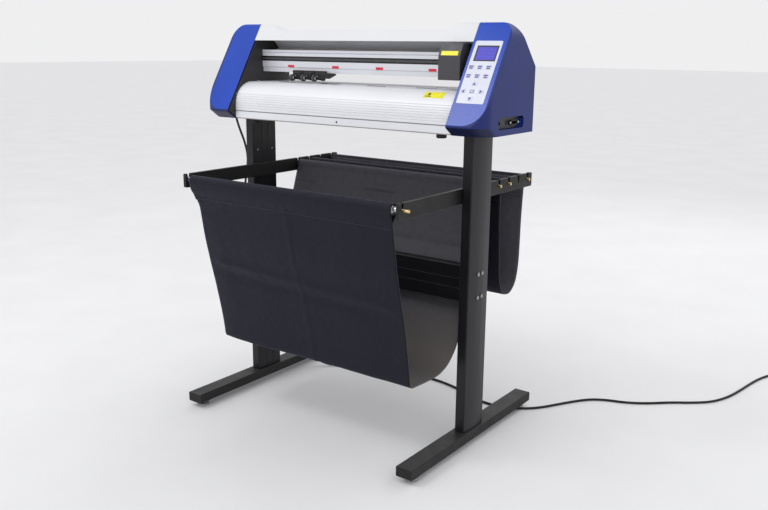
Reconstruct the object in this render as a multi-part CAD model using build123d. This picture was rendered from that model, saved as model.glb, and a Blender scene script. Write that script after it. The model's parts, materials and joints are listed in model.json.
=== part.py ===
from build123d import *

import os
from math import acos, atan2, cos, degrees, hypot, radians, sin, tan

# A 28 inch vinyl cutter on its floor stand, with two fabric media baskets.
# Millimetres, +Z up, +X to the operator's right, and the operator stands on the -Y side.
# The parts are drawn with the posts' centre plane at y = 0 and shifted once when they are written.

# ---- driving dimensions -------------------------------------------------------------------
POST_X = 377.0  # centre of each post, left and right of the middle
POST_SIZE = (28.0, 98.0)  # the post extrusion's section, along X and Y
POST_CORNER, POST_BOW = 3.0, 4.0  # its corners, and how far its outer side bows out
WALL = 2.5  # extrusion and tube wall
FOOT_WIDTH = 49.0
FOOT_HEIGHT = 27.0
FOOT_UNDER = 16.0  # floor to the underside of a foot bar
FOOT_FRONT, FOOT_REAR = -303.0, 312.0
FOOT_STUD_YS = (-270.0, 285.0)
STUD_RADIUS = 4.0
BOLT_RADIUS, HEAD_RADIUS, BOSS_RADIUS = 3.0, 5.5, 5.0
TIE_SCREW_Z = 737.0  # two small screws on the inner side of each post
TOP_BOLT_X, TOP_BOLT_YS = 338.0, (-30.0, 30.0)  # screws up into the machine's base
BODY_UNDER = 835.0  # floor to the underside of the machine
RIDGE = 1100.0  # floor to the top of the end caps
BEAM_CENTRE = 442.0  # height of the crossbeam's centre
ARM_FRONT, ARM_REAR = -319.0, 331.0
ARM_TOP, ARM_HEIGHT, ARM_WIDTH = 697.0, 38.0, 9.0
ARM_WALL = 2.0
SLOT_YS = (-305.0, 143.0, 197.0, 252.0, 306.0)  # rod slots along an arm
EMPTY_SLOT_Y = 252.0
SLOT_WIDTH, SLOT_DEPTH = 9.0, 21.0
MOUTH_WIDTH, MOUTH_DEPTH = 14.0, 11.0  # the flared mouth of a slot
PIN_RADIUS, NECK_RADIUS, ROD_RADIUS = 4.0, 8.0, 12.5
PIN_DEPTH = 20.0
PIN_REACH, LONG_PIN_REACH = 7.0, 19.0  # beyond an arm; the long one is at the front right
FABRIC = 1.6  # thickness of the baskets' cloth
CAP_IN, CAP_OUT = 368.0, 467.5  # inner and outer faces of an end cap
SHELL = 3.0  # moulded wall
RECESS_DEPTH = 14.0  # depth of the pockets in the caps' outer sides
PORT_POCKET = (-66.0, 61.0, 849.5, 878.5)  # y, then z
INLET_POCKET = (28.0, 104.0, 848.0, 884.0)
WINDOW = (378.5, 447.0, -3.0, 155.0)  # opening behind the overlay: x, then along the slope
PLATEN_TOP = 938.0
ROLLER_Y, ROLLER_Z, ROLLER_RADIUS = -17.0, 929.0, 10.0
GRIP_PITCH, GRIP_MIDDLE = 160.0, -10.0  # the feed roller's gripping zones along X
GRIP_LENGTH = 60.0
WHEEL_RADIUS, WHEEL_LIFT = 9.5, 3.4  # the pinch wheels rest a little above the feed roller
BEARING_RADIUS, JOURNAL_RADIUS = 11.0, 5.0
FEED_X = 398.0  # the feed motor's near face
RAIL_Y, RAIL_DEPTH = 2.0, 50.0
RAIL_BOTTOM, RAIL_TOP = 966.0, 1028.0
SLOT_Y0, SLOT_Y1 = 18.0, 28.0  # the slot in the rail's underside
TOOL_X, TOOL_Y, TOOL_RADIUS = 321.0, -43.5, 5.75
TOOL_STROKE = 24.0
BELT_Z, BELT_HEIGHT, BELT_THICK = 1003.5, 6.0, 1.4
BELT_Y = 10.5  # centre line between the belt's two runs
PULLEY_X, PULLEY_RADIUS = 405.0, 5.0
CORD_DIAMETER = 7.0
INLET_Z = 866.0
SOCKET_Y, ROCKER_Y = 76.0, 45.0  # the mains inlet's two halves
ROCKER_DEPTH, ROCKER_PIN = 4.0, 1.5  # the rocker's pivot: how far in, and its radius
RUNNING = 0.05  # radial clearance of a running fit
CLEAR = 0.3  # clearance between neighbours that do not fit together

POST_INNER = POST_X - POST_SIZE[0] / 2
POST_OUTER = POST_X + POST_SIZE[0] / 2
PANEL_IN = CAP_IN - 3.0  # inner face of a side panel
SPAN = PANEL_IN - CLEAR  # half length of everything that lies between the side panels
ROD_Z = ARM_TOP - SLOT_DEPTH + PIN_RADIUS
ROD_HALF = POST_INNER - ARM_WIDTH - 1.0
BASKET_SPAN = ROD_HALF - 7.0
TUBE_HALF = ROD_HALF - 15.0
BOLT_SEAT = POST_OUTER + POST_BOW - 0.6  # spot faces for the crossbeam bolts
BEARING_X = CAP_IN + 5
AXLE_Z = ROLLER_Z + ROLLER_RADIUS + WHEEL_RADIUS + WHEEL_LIFT
GRIP_XS = [GRIP_MIDDLE + GRIP_PITCH * (i - 1.5) for i in range(4)]
ORIGIN_Y = (ARM_FRONT + ARM_REAR) / 2  # the origin is under the middle of the footprint

# The caps' front face leans back, and the keypad lies on it.
LEAN = atan2(82.0, 136.0)
FACE = Plane(
    origin=(0, -107.0, 919.0),
    x_dir=(1, 0, 0),
    z_dir=(0, -cos(LEAN), sin(LEAN)),
)


# ---- helpers ------------------------------------------------------------------------------
def block(x0, x1, y0, y1, z0, z1):
    """A box between two corners."""
    box = Box(x1 - x0, y1 - y0, z1 - z0)
    return Pos((x0 + x1) / 2, (y0 + y1) / 2, (z0 + z1) / 2) * box


def along_x(profile, x0, x1):
    """A profile drawn as (y, z), made into a prism between two x values."""
    return Pos(x0, 0, 0) * extrude(Plane.YZ * profile, amount=x1 - x0, dir=(1, 0, 0))


def along_y(profile, y0, y1):
    """A profile drawn as (x, z), made into a prism between two y values."""
    return Pos(0, y0, 0) * extrude(Plane.XZ * profile, amount=y1 - y0, dir=(0, 1, 0))


def along_z(profile, z0, z1):
    """A profile drawn as (x, y), made into a prism between two heights."""
    return Pos(0, 0, z0) * extrude(profile, amount=z1 - z0, dir=(0, 0, 1))


def outline(*points):
    """A flat face through the points, which stay where they are."""
    return Polygon(*points, align=None)


def rod_x(x0, x1, y, z, radius):
    """A round bar along X."""
    return Pos((x0 + x1) / 2, y, z) * Rot(0, 90, 0) * Cylinder(radius, x1 - x0)


def rod_z(x, y, z0, z1, radius):
    """An upright round bar."""
    return Pos(x, y, (z0 + z1) / 2) * Cylinder(radius, z1 - z0)


def on_face(x0, x1, s0, s1, d0, d1):
    """A box on the leaning face: s runs up the slope and d points out of it."""
    return FACE * block(x0, x1, s0, s1, d0, d1)


def both_sides(right):
    """A right-hand piece and its mirror image, as one group."""
    return Compound([*right.solids(), *mirror(right, about=Plane.YZ).solids()])


def group(pieces):
    """Separate pieces that share a node."""
    return Compound([solid for piece in pieces for solid in piece.solids()])


def band(points, radii, thickness):
    """A bent sheet: the polyline through the points, rounded and thickened."""
    centre = Wire(FilletPolyline(*points, radius=radii).edges())
    return make_face(centre.offset_2d(thickness / 2, kind=Kind.INTERSECTION, side=Side.BOTH).edges())


# ---- stand --------------------------------------------------------------------------------
def foot_bars():
    """Two closed steel box tubes that lie front to back under the posts."""
    section = RectangleRounded(FOOT_WIDTH, FOOT_HEIGHT, 3) - RectangleRounded(
        FOOT_WIDTH - 2 * WALL, FOOT_HEIGHT - 2 * WALL, 1
    )
    z = FOOT_UNDER + FOOT_HEIGHT / 2
    centre = Pos(POST_X, z)
    end = centre * RectangleRounded(FOOT_WIDTH, FOOT_HEIGHT, 3)
    bar = along_y(centre * section, FOOT_FRONT + WALL, FOOT_REAR - WALL)
    bar += along_y(end, FOOT_FRONT, FOOT_FRONT + WALL)
    bar += along_y(end, FOOT_REAR - WALL, FOOT_REAR)
    for y in FOOT_STUD_YS:
        bar -= rod_z(POST_X, y, FOOT_UNDER - 1, FOOT_UNDER + WALL + 1, STUD_RADIUS + RUNNING)
    return both_sides(bar)


def levelling_feet():
    """Four round pads with a stud and a lock nut."""
    feet = []
    for y in FOOT_STUD_YS:
        pad = rod_z(POST_X, y, 0, 7, 17)
        pad = chamfer(pad.edges().sort_by(Axis.Z)[-1], 2)
        nut = along_z(Pos(POST_X, y) * RegularPolygon(7.5, 6), 11.5, 15.8)
        feet.append(pad + nut + rod_z(POST_X, y, 6, FOOT_UNDER + 14, STUD_RADIUS))
    return both_sides(group(feet))


def bowed(width, depth, corner):
    """A rectangle whose +X side bows outward."""
    x, y = width / 2, depth / 2
    flat_sides = Polyline((x, y), (-x, y), (-x, -y), (x, -y))
    bow = ThreePointArc((x, -y), (x + POST_BOW, 0), (x, y))
    face = make_face([*flat_sides.edges(), *bow.edges()])
    return fillet(face.vertices(), corner)


def extrusion_section():
    """The aluminium section shared by the posts and the crossbeam: a grooved flat side at -X."""
    width, depth = POST_SIZE
    section = bowed(width, depth, POST_CORNER) - bowed(width - 2 * WALL, depth - 2 * WALL, 1)
    section += Pos(POST_BOW / 2, 0) * Rectangle(width + POST_BOW - 1, WALL)
    for y in (-13, 13):
        section -= Pos(-width / 2, y) * Rectangle(2, 3)
    return section


def bolt_places():
    """Centres of the four crossbeam bolts on a post, as (y, z)."""
    return [(y, BEAM_CENTRE + dz) for y in (-8.5, 11) for dz in (-31, 31)]


def stand_posts():
    """Two upright extrusions, each with a top plate that carries the machine."""
    plate = 4.0
    foot = FOOT_UNDER + FOOT_HEIGHT
    post = along_z(Pos(POST_X, 0) * extrusion_section(), foot, BODY_UNDER - plate)
    half = POST_SIZE[1] / 2 - 1
    post += block(PANEL_IN - 40, POST_OUTER - 1, -half, half, BODY_UNDER - plate, BODY_UNDER)
    posts = post + Rot(0, 0, 180) * post
    for y, z in bolt_places():
        posts -= both_sides(rod_x(POST_INNER - 1, BOLT_SEAT + 1, y, z, BOLT_RADIUS + RUNNING))
        posts -= both_sides(rod_x(BOLT_SEAT, BOLT_SEAT + 2, y, z, HEAD_RADIUS + CLEAR))
    for y, z in arm_bolt_places():
        posts -= both_sides(rod_x(POST_INNER - 1, POST_INNER + WALL + 1, y, z, BOLT_RADIUS + RUNNING))
    for y in TOP_BOLT_YS:
        posts -= both_sides(rod_x(POST_INNER - 1, POST_INNER + WALL + 1, y, TIE_SCREW_Z, 2 + RUNNING))
        posts -= both_sides(rod_z(TOP_BOLT_X, y, BODY_UNDER - 5, BODY_UNDER + 1, BOLT_RADIUS + RUNNING))
    return group([posts])


def arm_bolt_places():
    """Centres of the two bolts that hold an arm to its post, as (y, z)."""
    return [(y, ARM_TOP - ARM_HEIGHT / 2) for y in (-30, 30)]


def crossbeam():
    """The post section laid on its side between the posts, with bosses for its bolts."""
    beam = along_x(Pos(0, BEAM_CENTRE) * extrusion_section(), -POST_INNER, POST_INNER)
    for y, z in bolt_places():
        boss = rod_x(POST_INNER - 25, POST_INNER, y, z, BOSS_RADIUS)
        beam += both_sides(boss)
    for y, z in bolt_places():
        beam -= both_sides(rod_x(POST_INNER - 22, POST_INNER + 1, y, z, BOLT_RADIUS + RUNNING))
    return beam


def bolt_x(head_x, tip_x, y, z):
    """A button-head bolt along X, its head outside the post."""
    head = rod_x(head_x, head_x + 3, y, z, HEAD_RADIUS)
    head = fillet(head.edges().sort_by(Axis.X)[-1], 1.2)
    return head + rod_x(tip_x, head_x + 1, y, z, BOLT_RADIUS)


def frame_bolts():
    """The bolts that hold the crossbeam, the arms and the machine to the posts."""
    bolts = [bolt_x(BOLT_SEAT, POST_INNER - 18, y, z) for y, z in bolt_places()]
    inside_arm = POST_INNER - ARM_WALL
    for y, z in arm_bolt_places():
        head = rod_x(inside_arm - 3, inside_arm, y, z, HEAD_RADIUS)
        bolts.append(head + rod_x(inside_arm - 1, POST_INNER + 12, y, z, BOLT_RADIUS))
    for y in TOP_BOLT_YS:
        head = rod_x(POST_INNER - 1.2, POST_INNER, y, TIE_SCREW_Z, 3.2)
        bolts.append(head + rod_x(POST_INNER - 1, POST_INNER + 8, y, TIE_SCREW_Z, 2))
        head = rod_z(TOP_BOLT_X, y, BODY_UNDER - 8, BODY_UNDER - 4, HEAD_RADIUS)
        bolts.append(head + rod_z(TOP_BOLT_X, y, BODY_UNDER - 5, BODY_UNDER + 8, BOLT_RADIUS))
    return both_sides(group(bolts))


def basket_arms():
    """Folded steel channels, open below, with five rod slots cut from the top."""
    x0, x1 = POST_INNER - ARM_WIDTH, POST_INNER
    z0 = ARM_TOP - ARM_HEIGHT
    side = RectangleRounded(ARM_REAR - ARM_FRONT, ARM_HEIGHT, 4)
    arm = along_x(Pos((ARM_FRONT + ARM_REAR) / 2, z0 + ARM_HEIGHT / 2) * side, x0, x1)
    arm -= block(
        x0 + ARM_WALL, x1 - ARM_WALL, ARM_FRONT + ARM_WALL, ARM_REAR - ARM_WALL,
        z0 - 1, ARM_TOP - ARM_WALL,
    )
    for y in SLOT_YS:
        slot_floor = ARM_TOP - SLOT_DEPTH + SLOT_WIDTH / 2
        arm -= block(x0 - 1, x1 + 1, y - SLOT_WIDTH / 2, y + SLOT_WIDTH / 2, slot_floor, ARM_TOP + 1)
        arm -= rod_x(x0 - 1, x1 + 1, y, slot_floor, SLOT_WIDTH / 2)
        mouth = outline(
            (y - SLOT_WIDTH / 2, ARM_TOP - MOUTH_DEPTH), (y + SLOT_WIDTH / 2, ARM_TOP - MOUTH_DEPTH),
            (y + MOUTH_WIDTH / 2, ARM_TOP + 1), (y - MOUTH_WIDTH / 2, ARM_TOP + 1),
        )
        arm -= along_x(mouth, x0 - 1, x1 + 1)
    for y, z in arm_bolt_places():
        arm -= rod_x(x1 - ARM_WALL - 1, x1 + 1, y, z, BOLT_RADIUS + RUNNING)
    return both_sides(arm)


def rod_ys():
    """The slots that hold a rod; the third rear slot is spare."""
    return [y for y in SLOT_YS if y != EMPTY_SLOT_Y]


def basket_rods():
    """Four tubes that carry the fabric, with a bored plug in both ends."""
    rods = []
    for y in rod_ys():
        rod = rod_x(-TUBE_HALF, TUBE_HALF, y, ROD_Z, ROD_RADIUS)
        rod -= rod_x(25 - TUBE_HALF, TUBE_HALF - 25, y, ROD_Z, ROD_RADIUS - 1.5)
        rod += rod_x(-ROD_HALF, 1 - TUBE_HALF, y, ROD_Z, NECK_RADIUS)
        rod += rod_x(TUBE_HALF - 1, ROD_HALF, y, ROD_Z, NECK_RADIUS)
        rod -= both_sides(rod_x(ROD_HALF - PIN_DEPTH, ROD_HALF + 1, y, ROD_Z, PIN_RADIUS + 0.02))
        rods.append(rod)
    return group(rods)


def rod_end_pins():
    """Brass pins that drop into the arms' slots; the one at the front right is drawn out."""
    pins = []
    for y in rod_ys():
        for side in (-1, 1):
            reach = LONG_PIN_REACH if (y, side) == (SLOT_YS[0], 1) else PIN_REACH
            pin = rod_x(ROD_HALF - PIN_DEPTH + 1, POST_INNER + reach, y, ROD_Z, PIN_RADIUS)
            pin = chamfer(pin.edges().sort_by(Axis.X)[-1], 1)
            pins.append(pin if side == 1 else mirror(pin, about=Plane.YZ))
    return group(pins)


def sleeve(y):
    """The tunnel of cloth round a rod."""
    inner = ROD_RADIUS + CLEAR
    return Pos(y, ROD_Z) * (Circle(inner + FABRIC) - Circle(inner))


def hang_point(rod_y, below, side):
    """Where cloth that hangs towards a point below leaves its rod; side is -1 in front of it."""
    reach = ROD_RADIUS + CLEAR + FABRIC / 2
    dy, dz = below[0] - rod_y, below[1] - ROD_Z
    angle = atan2(dz, dy) + side * acos(reach / hypot(dy, dz))
    return rod_y + reach * cos(angle), ROD_Z + reach * sin(angle)


def front_basket():
    """The deep sling: from the front rod down, under the crossbeam and up to the first rear rod."""
    sheet = band(
        [
            hang_point(SLOT_YS[0], (-296, 618), -1),
            (-296, 618),
            (-282, 520),
            (-262, 400),
            (-228, 224),
            (-150, 211),
            (-92, 214),
            (-30, 252),
            (30, 395),
            hang_point(SLOT_YS[1], (30, 395), -1),
        ],
        [60, 60, 60, 16, 40, 40, 40, 60],
        FABRIC,
    )
    cloth = sheet + sleeve(SLOT_YS[0]) + sleeve(SLOT_YS[1])
    return along_x(cloth, -BASKET_SPAN, BASKET_SPAN)


def rear_basket():
    """The narrow pocket between the second and the last rear rod."""
    sheet = band(
        [
            hang_point(SLOT_YS[2], (185, 590), -1),
            (185, 590),
            (193, 430),
            (214, 360),
            (256, 352),
            (290, 376),
            (307, 440),
            (309, 560),
            hang_point(SLOT_YS[4], (309, 560), 1),
        ],
        [60, 60, 24, 20, 20, 30, 60],
        FABRIC,
    )
    cloth = sheet + sleeve(SLOT_YS[2]) + sleeve(SLOT_YS[4])
    return along_x(cloth, -BASKET_SPAN, BASKET_SPAN)


# ---- machine housing ----------------------------------------------------------------------
CHIN = (-112.0, 857.0)  # y of the bottom edge and height of the chin's corner
CAP_FRONT = FACE.origin.Y - (FACE.origin.Z - CHIN[1]) * tan(LEAN)
CAP_REAR = 120.0
CAP_CORNER = 48.0  # rounding between a cap's front and its outer side


def cap_profile():
    """An end cap seen from the side: chin, leaning front, ridge, back slope and flat back."""
    ridge_front = FACE.origin.Y + (RIDGE - FACE.origin.Z) * tan(LEAN)
    corners = [
        ((CHIN[0], BODY_UNDER), 2),
        ((CAP_FRONT, CHIN[1]), 6),
        ((ridge_front, RIDGE), 10),
        ((ridge_front + 12, RIDGE), 12),
        ((CAP_REAR, 988), 20),
        ((CAP_REAR, BODY_UNDER), 6),
    ]
    face = outline(*[point for point, _ in corners])
    for (y, z), radius in corners:
        near = face.vertices().sort_by_distance((y, z, 0))[0]
        face = fillet(near, radius)
    return face


def chin_form(plan):
    """A cap's plan that leans back below the chin's corner and goes straight up above it."""
    steepness = Vector(0, CHIN[0] - CAP_FRONT - 1, BODY_UNDER - CHIN[1])
    lower = extrude(Pos(0, 0, CHIN[1]) * plan, amount=1.2 * steepness.length, dir=steepness)
    upper = block(CAP_IN - 20, CAP_OUT + 20, -200, 200, CHIN[1], RIDGE + 5)
    return upper + lower


def cap_solid(inset):
    """The right cap's outer form, or the same form shrunk by a wall thickness."""
    x0 = CAP_IN - (10 if inset else 0)
    x1 = CAP_OUT - inset
    profile = cap_profile()
    if inset:
        profile = offset(profile, amount=-inset)
    form = along_x(profile, x0, x1)
    plan = outline(
        (x0, CAP_FRONT + inset), (x1, CAP_FRONT + inset), (x1, CAP_REAR - inset), (x0, CAP_REAR - inset)
    )
    plan = fillet(plan.vertices().group_by(Axis.X)[-1].sort_by(Axis.Y)[0], CAP_CORNER - inset)
    form &= chin_form(plan)
    plan = fillet(plan.vertices().group_by(Axis.X)[-1].sort_by(Axis.Y)[-1], 10 - inset)
    form &= along_z(plan, BODY_UNDER - 5, RIDGE + 5)
    front = outline(
        (x0, BODY_UNDER + inset), (x1, BODY_UNDER + inset), (x1, RIDGE - inset), (x0, RIDGE - inset)
    )
    front = fillet(front.vertices().group_by(Axis.X)[-1].sort_by(Axis.Y)[-1], 40 - inset)
    return form & along_y(front, -200, 200)


def recess(y0, y1, z0, z1, floor_x, mouth_x):
    """A pocket with round ends in a cap's outer side."""
    centre = ((y0 + y1) / 2, (z0 + z1) / 2)
    shape = Pos(*centre) * RectangleRounded(y1 - y0, z1 - z0, 10)
    return along_x(shape, floor_x, mouth_x)


def end_cap(pocket):
    """A right-hand cap: a moulded shell, open inward, with one pocket in its side."""
    y0, y1, z0, z1 = pocket
    whole = cap_solid(0)
    shell = whole - cap_solid(SHELL)
    floor = CAP_OUT - RECESS_DEPTH
    tray = recess(y0 - SHELL, y1 + SHELL, z0 - SHELL, z1 + SHELL, floor - SHELL, CAP_OUT)
    shell += tray & whole
    return shell - recess(y0, y1, z0, z1, floor, CAP_OUT + 1)


def right_end_cap():
    """The operator's cap, with the keypad window and the port pocket."""
    cap = end_cap(PORT_POCKET)
    cap -= on_face(*WINDOW, -6, 2)
    floor = CAP_OUT - RECESS_DEPTH
    for _, y, wide, tall in PORTS:
        cap -= block(floor - SHELL - 1, floor + 1, y - wide / 2, y + wide / 2,
                     PORT_Z - tall / 2, PORT_Z + tall / 2)
    return cap


def left_end_cap():
    """The mains cap, with the inlet pocket."""
    cap = end_cap(INLET_POCKET)
    floor = CAP_OUT - RECESS_DEPTH
    cap -= block(floor - SHELL - 1, floor + 1, 36, 98, INLET_Z - 13, INLET_Z + 13)
    return mirror(cap, about=Plane.YZ)


def side_panel():
    """The right-hand inner panel: closes the cap and carries the rail, bearings and idler."""
    profile = offset(cap_profile(), amount=-4.0)
    panel = along_x(profile, PANEL_IN, CAP_IN)
    panel -= rod_x(PANEL_IN - 1, CAP_IN + 1, ROLLER_Y, ROLLER_Z, BEARING_RADIUS + RUNNING)
    panel -= block(
        PANEL_IN - 1, CAP_IN + 1, BELT_Y - 9, BELT_Y + 9, BELT_Z - 6, BELT_Z + 6
    )
    return panel


def side_panels():
    """Both inner panels; the left one has a shelf with the idler's pin."""
    left = mirror(side_panel(), about=Plane.YZ)
    shelf = block(-PULLEY_X - 14, -CAP_IN + 1, BELT_Y - 8, BELT_Y + 8, BELT_Z - 10, BELT_Z - 7)
    pin = rod_z(-PULLEY_X, BELT_Y, BELT_Z - 8, BELT_Z + 8, 2)
    return group([left + shelf + pin, side_panel()])


def chassis():
    """The folded steel tray that everything between the caps stands on."""
    sheet = 2.5
    tray = block(-SPAN, SPAN, -107, 114, BODY_UNDER, BODY_UNDER + sheet)
    tray += block(-SPAN, SPAN, 114 - sheet, 114, BODY_UNDER, 933)
    tray += block(-SPAN, SPAN, -107, -107 + sheet, BODY_UNDER, 850)
    tray += block(-SPAN, SPAN, 60, 114, 933 - sheet, 933)
    for x in (-170, 170):
        tray += block(x - 2, x + 2, -60, 112, BODY_UNDER, 905)
    for y in TOP_BOLT_YS:
        tray -= both_sides(rod_z(TOP_BOLT_X, y, BODY_UNDER - 1, BODY_UNDER + 4, BOLT_RADIUS + RUNNING))
    return tray


def body_feet():
    """Four rubber feet for standing the machine on a bench."""
    feet = []
    for y in (-78, 84):
        foot = rod_z(317, y, BODY_UNDER - 12, BODY_UNDER, 13)
        feet.append(chamfer(foot.edges().sort_by(Axis.Z)[0], 2))
    return both_sides(group(feet))


NOSE_RADIUS = 65.0
NOSE_Y, NOSE_Z = -48.0, PLATEN_TOP - NOSE_RADIUS
LIP_TOP = 856.5
RIB_GROOVE = 1.1  # radius of the fine grooves along the nose


def nose_section(radius):
    """The front panel's outer form at a given nose radius."""
    quarter = Pos(NOSE_Y, NOSE_Z) * Circle(radius)
    quarter &= outline((-200, NOSE_Z), (NOSE_Y, NOSE_Z), (NOSE_Y, 1000), (-200, 1000))
    drop = outline(
        (NOSE_Y - radius, LIP_TOP + 2.4), (NOSE_Y, LIP_TOP + 2.4), (NOSE_Y, NOSE_Z), (NOSE_Y - radius, NOSE_Z)
    )
    return quarter + drop


def front_panel():
    """The ribbed aluminium nose in front of the platen, with a plain lip under it."""
    skin = nose_section(NOSE_RADIUS) - nose_section(NOSE_RADIUS - WALL)
    front = NOSE_Y - NOSE_RADIUS
    for step in range(6):
        angle = radians(180 - 5.8 * step)
        place = (NOSE_Y + NOSE_RADIUS * cos(angle), NOSE_Z + NOSE_RADIUS * sin(angle))
        skin -= Pos(*place) * Circle(RIB_GROOVE)
    skin -= Pos(front, LIP_TOP + 9.5) * Circle(RIB_GROOVE)
    lip = outline(
        (front, BODY_UNDER + 3), (front + WALL, BODY_UNDER + 3), (front + WALL, LIP_TOP + 3),
        (front + WALL + 2, LIP_TOP + 3), (front + WALL + 2, LIP_TOP), (front, LIP_TOP),
    )
    web = outline(
        (front + 2, LIP_TOP - 1), (front + WALL + 2, LIP_TOP - 1),
        (front + WALL + 2, LIP_TOP + 4), (front + 2, LIP_TOP + 4),
    )
    ledge = outline(
        (NOSE_Y - 1, PLATEN_TOP - WALL), (NOSE_Y + 2, PLATEN_TOP - WALL),
        (NOSE_Y + 2, PLATEN_TOP), (NOSE_Y - 1, PLATEN_TOP),
    )
    return along_x(skin + lip + web + ledge, -SPAN, SPAN)


def platen():
    """The flat deck under the media, with a window over each gripping zone."""
    y0, y1 = NOSE_Y + 2 + CLEAR, 117.0
    deck = block(-SPAN, SPAN, y0, y1, PLATEN_TOP - 3, PLATEN_TOP)
    for x in GRIP_XS:
        half = GRIP_LENGTH / 2 + 2
        deck -= block(x - half, x + half, ROLLER_Y - 12, ROLLER_Y + 12, PLATEN_TOP - 4, PLATEN_TOP + 1)
    lip = outline((y1 - 3, PLATEN_TOP - 1), (y1, PLATEN_TOP), (y1 + 3, PLATEN_TOP - 4), (y1, PLATEN_TOP - 4))
    return deck + along_x(lip, -SPAN, SPAN)


COVER_DROP = 18.0  # the cover's middle lies this far below its ends
COVER_FLAT, COVER_RAMP = 325.0, 283.0  # the raised ends' inner edge, and the foot of their ramps
COVER_LIP = 1054.0
COVER_REAR = 1002.0


def cover_form(inset):
    """The cover's outer form, or the same form shrunk by its wall."""
    profile = cap_profile()
    if inset:
        profile = offset(profile, amount=-inset)
    reach = CAP_IN - CLEAR + (5 if inset else 0)
    form = along_x(profile, -reach, reach)
    top, low = RIDGE - inset + 1, RIDGE - COVER_DROP - inset
    front = outline(
        (-reach, 900), (reach, 900), (reach, top), (COVER_FLAT, top), (COVER_FLAT, RIDGE - inset),
        (COVER_RAMP, low), (-COVER_RAMP, low), (-COVER_FLAT, RIDGE - inset), (-COVER_FLAT, top),
        (-reach, top),
    )
    return form & along_y(front, -200, 200)


def top_cover():
    """The long lid: a leaning front lip, a flat middle, raised ends and the back slope."""
    shell = cover_form(0) - cover_form(2.5)
    keep = block(-400, 400, -200, 60, COVER_LIP, 1200) + block(-400, 400, 50, 200, COVER_REAR, 1200)
    return shell & keep


def rear_cover():
    """The folded grey sheet behind the rail, open below for the media."""
    sheet = 1.5
    back = outline(
        (66, 992), (66, 1033), (66 + sheet, 1033), (66 + sheet, 992 + sheet),
        (116, 992 + sheet), (116, 966), (116 - sheet, 966), (116 - sheet, 992),
    )
    return along_x(back, -SPAN, SPAN)


def rail_section():
    """The carriage rail: two ridges, a deep belt groove, a sloping band and an underside slot."""
    y0, y1 = RAIL_Y, RAIL_Y + RAIL_DEPTH
    face = outline(
        (y0, RAIL_TOP), (y0, 1021), (y0 + 2.5, 1020), (y0, 1019), (y0, 1010.5),
        (y0 + 17, 1010.5), (y0 + 17, 996.5), (y0, 996.5), (y0, 980), (y0 + 2.5, 978.5),
        (y0 + 2.5, RAIL_BOTTOM), (SLOT_Y0, RAIL_BOTTOM), (SLOT_Y0, RAIL_BOTTOM + 8),
        (SLOT_Y1, RAIL_BOTTOM + 8), (SLOT_Y1, RAIL_BOTTOM), (y1, RAIL_BOTTOM), (y1, RAIL_TOP),
    )
    hollow = outline((y0 + 21, 979), (y1 - 3, 979), (y1 - 3, RAIL_TOP - 3), (y0 + 21, RAIL_TOP - 3))
    return face - hollow


def rail_beam():
    """The rail from side panel to side panel."""
    return along_x(rail_section(), -SPAN, SPAN)


# ---- controls and ports -------------------------------------------------------------------
OVERLAY = (376.0, 450.0, -8.0, 160.0)
SCREEN = (385.0, 444.0, 105.0, 147.0)
KEY_SIZE = (13.0, 9.0)
KEY_TRAVEL = 0.4
KEY_COLUMNS = (386.0, 409.5, 433.0)
KEYS = {
    "key_speed": (KEY_COLUMNS[0], 88.0),
    "key_force": (KEY_COLUMNS[1], 88.0),
    "key_test": (KEY_COLUMNS[2], 88.0),
    "key_pause": (KEY_COLUMNS[0], 64.5),
    "key_reset": (KEY_COLUMNS[1], 64.5),
    "key_menu": (KEY_COLUMNS[2], 64.5),
    "key_up": (KEY_COLUMNS[1], 43.5),
    "key_left": (KEY_COLUMNS[0], 24.0),
    "key_enter": (KEY_COLUMNS[1], 24.0),
    "key_right": (KEY_COLUMNS[2], 24.0),
    "key_down": (KEY_COLUMNS[1], 5.0),
}


def control_overlay():
    """The thin, round-cornered front sheet of the keypad, with holes for the screen and keys."""
    x0, x1, s0, s1 = OVERLAY
    sheet = on_face(x0, x1, s0, s1, 0, 0.8)
    sheet = fillet(sheet.edges().filter_by(Axis((0, 0, 0), FACE.z_dir)), 4)
    sheet -= on_face(SCREEN[0] - 0.3, SCREEN[1] + 0.3, SCREEN[2] - 0.3, SCREEN[3] + 0.3, -1, 2)
    for x, s in KEYS.values():
        wide, tall = KEY_SIZE[0] / 2 + 0.2, KEY_SIZE[1] / 2 + 0.2
        sheet -= on_face(x - wide, x + wide, s - tall, s + tall, -1, 2)
    return sheet


def key(place):
    """One key: a low pad on a stem that reaches back to its switch."""
    x, s = place
    wide, tall = KEY_SIZE[0] / 2, KEY_SIZE[1] / 2
    pad = on_face(x - wide, x + wide, s - tall, s + tall, -1.0, 1.3)
    pad = fillet(pad.edges().filter_by(Axis((0, 0, 0), FACE.z_dir)), 1.5)
    stem = on_face(x - 2, x + 2, s - 2, s + 2, -3.0 + KEY_TRAVEL + 0.1, -0.9)
    return pad + stem


def lcd_module():
    """The display: a glass front in a metal bezel on a small board."""
    x0, x1, s0, s1 = SCREEN
    glass = on_face(x0, x1, s0, s1, -2, 0.5)
    return glass + on_face(x0 - 1.5, x1 + 1.5, s0 - 2.5, s1 + 2.5, -10, -1.9)


PORT_Z = 863.5
PORTS = (
    ("usb", -42.0, 12.5, 11.0),
    ("dc_jack", -5.0, 5.0, 13.0),
    ("serial", 26.0, 31.0, 12.5),
)


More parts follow.
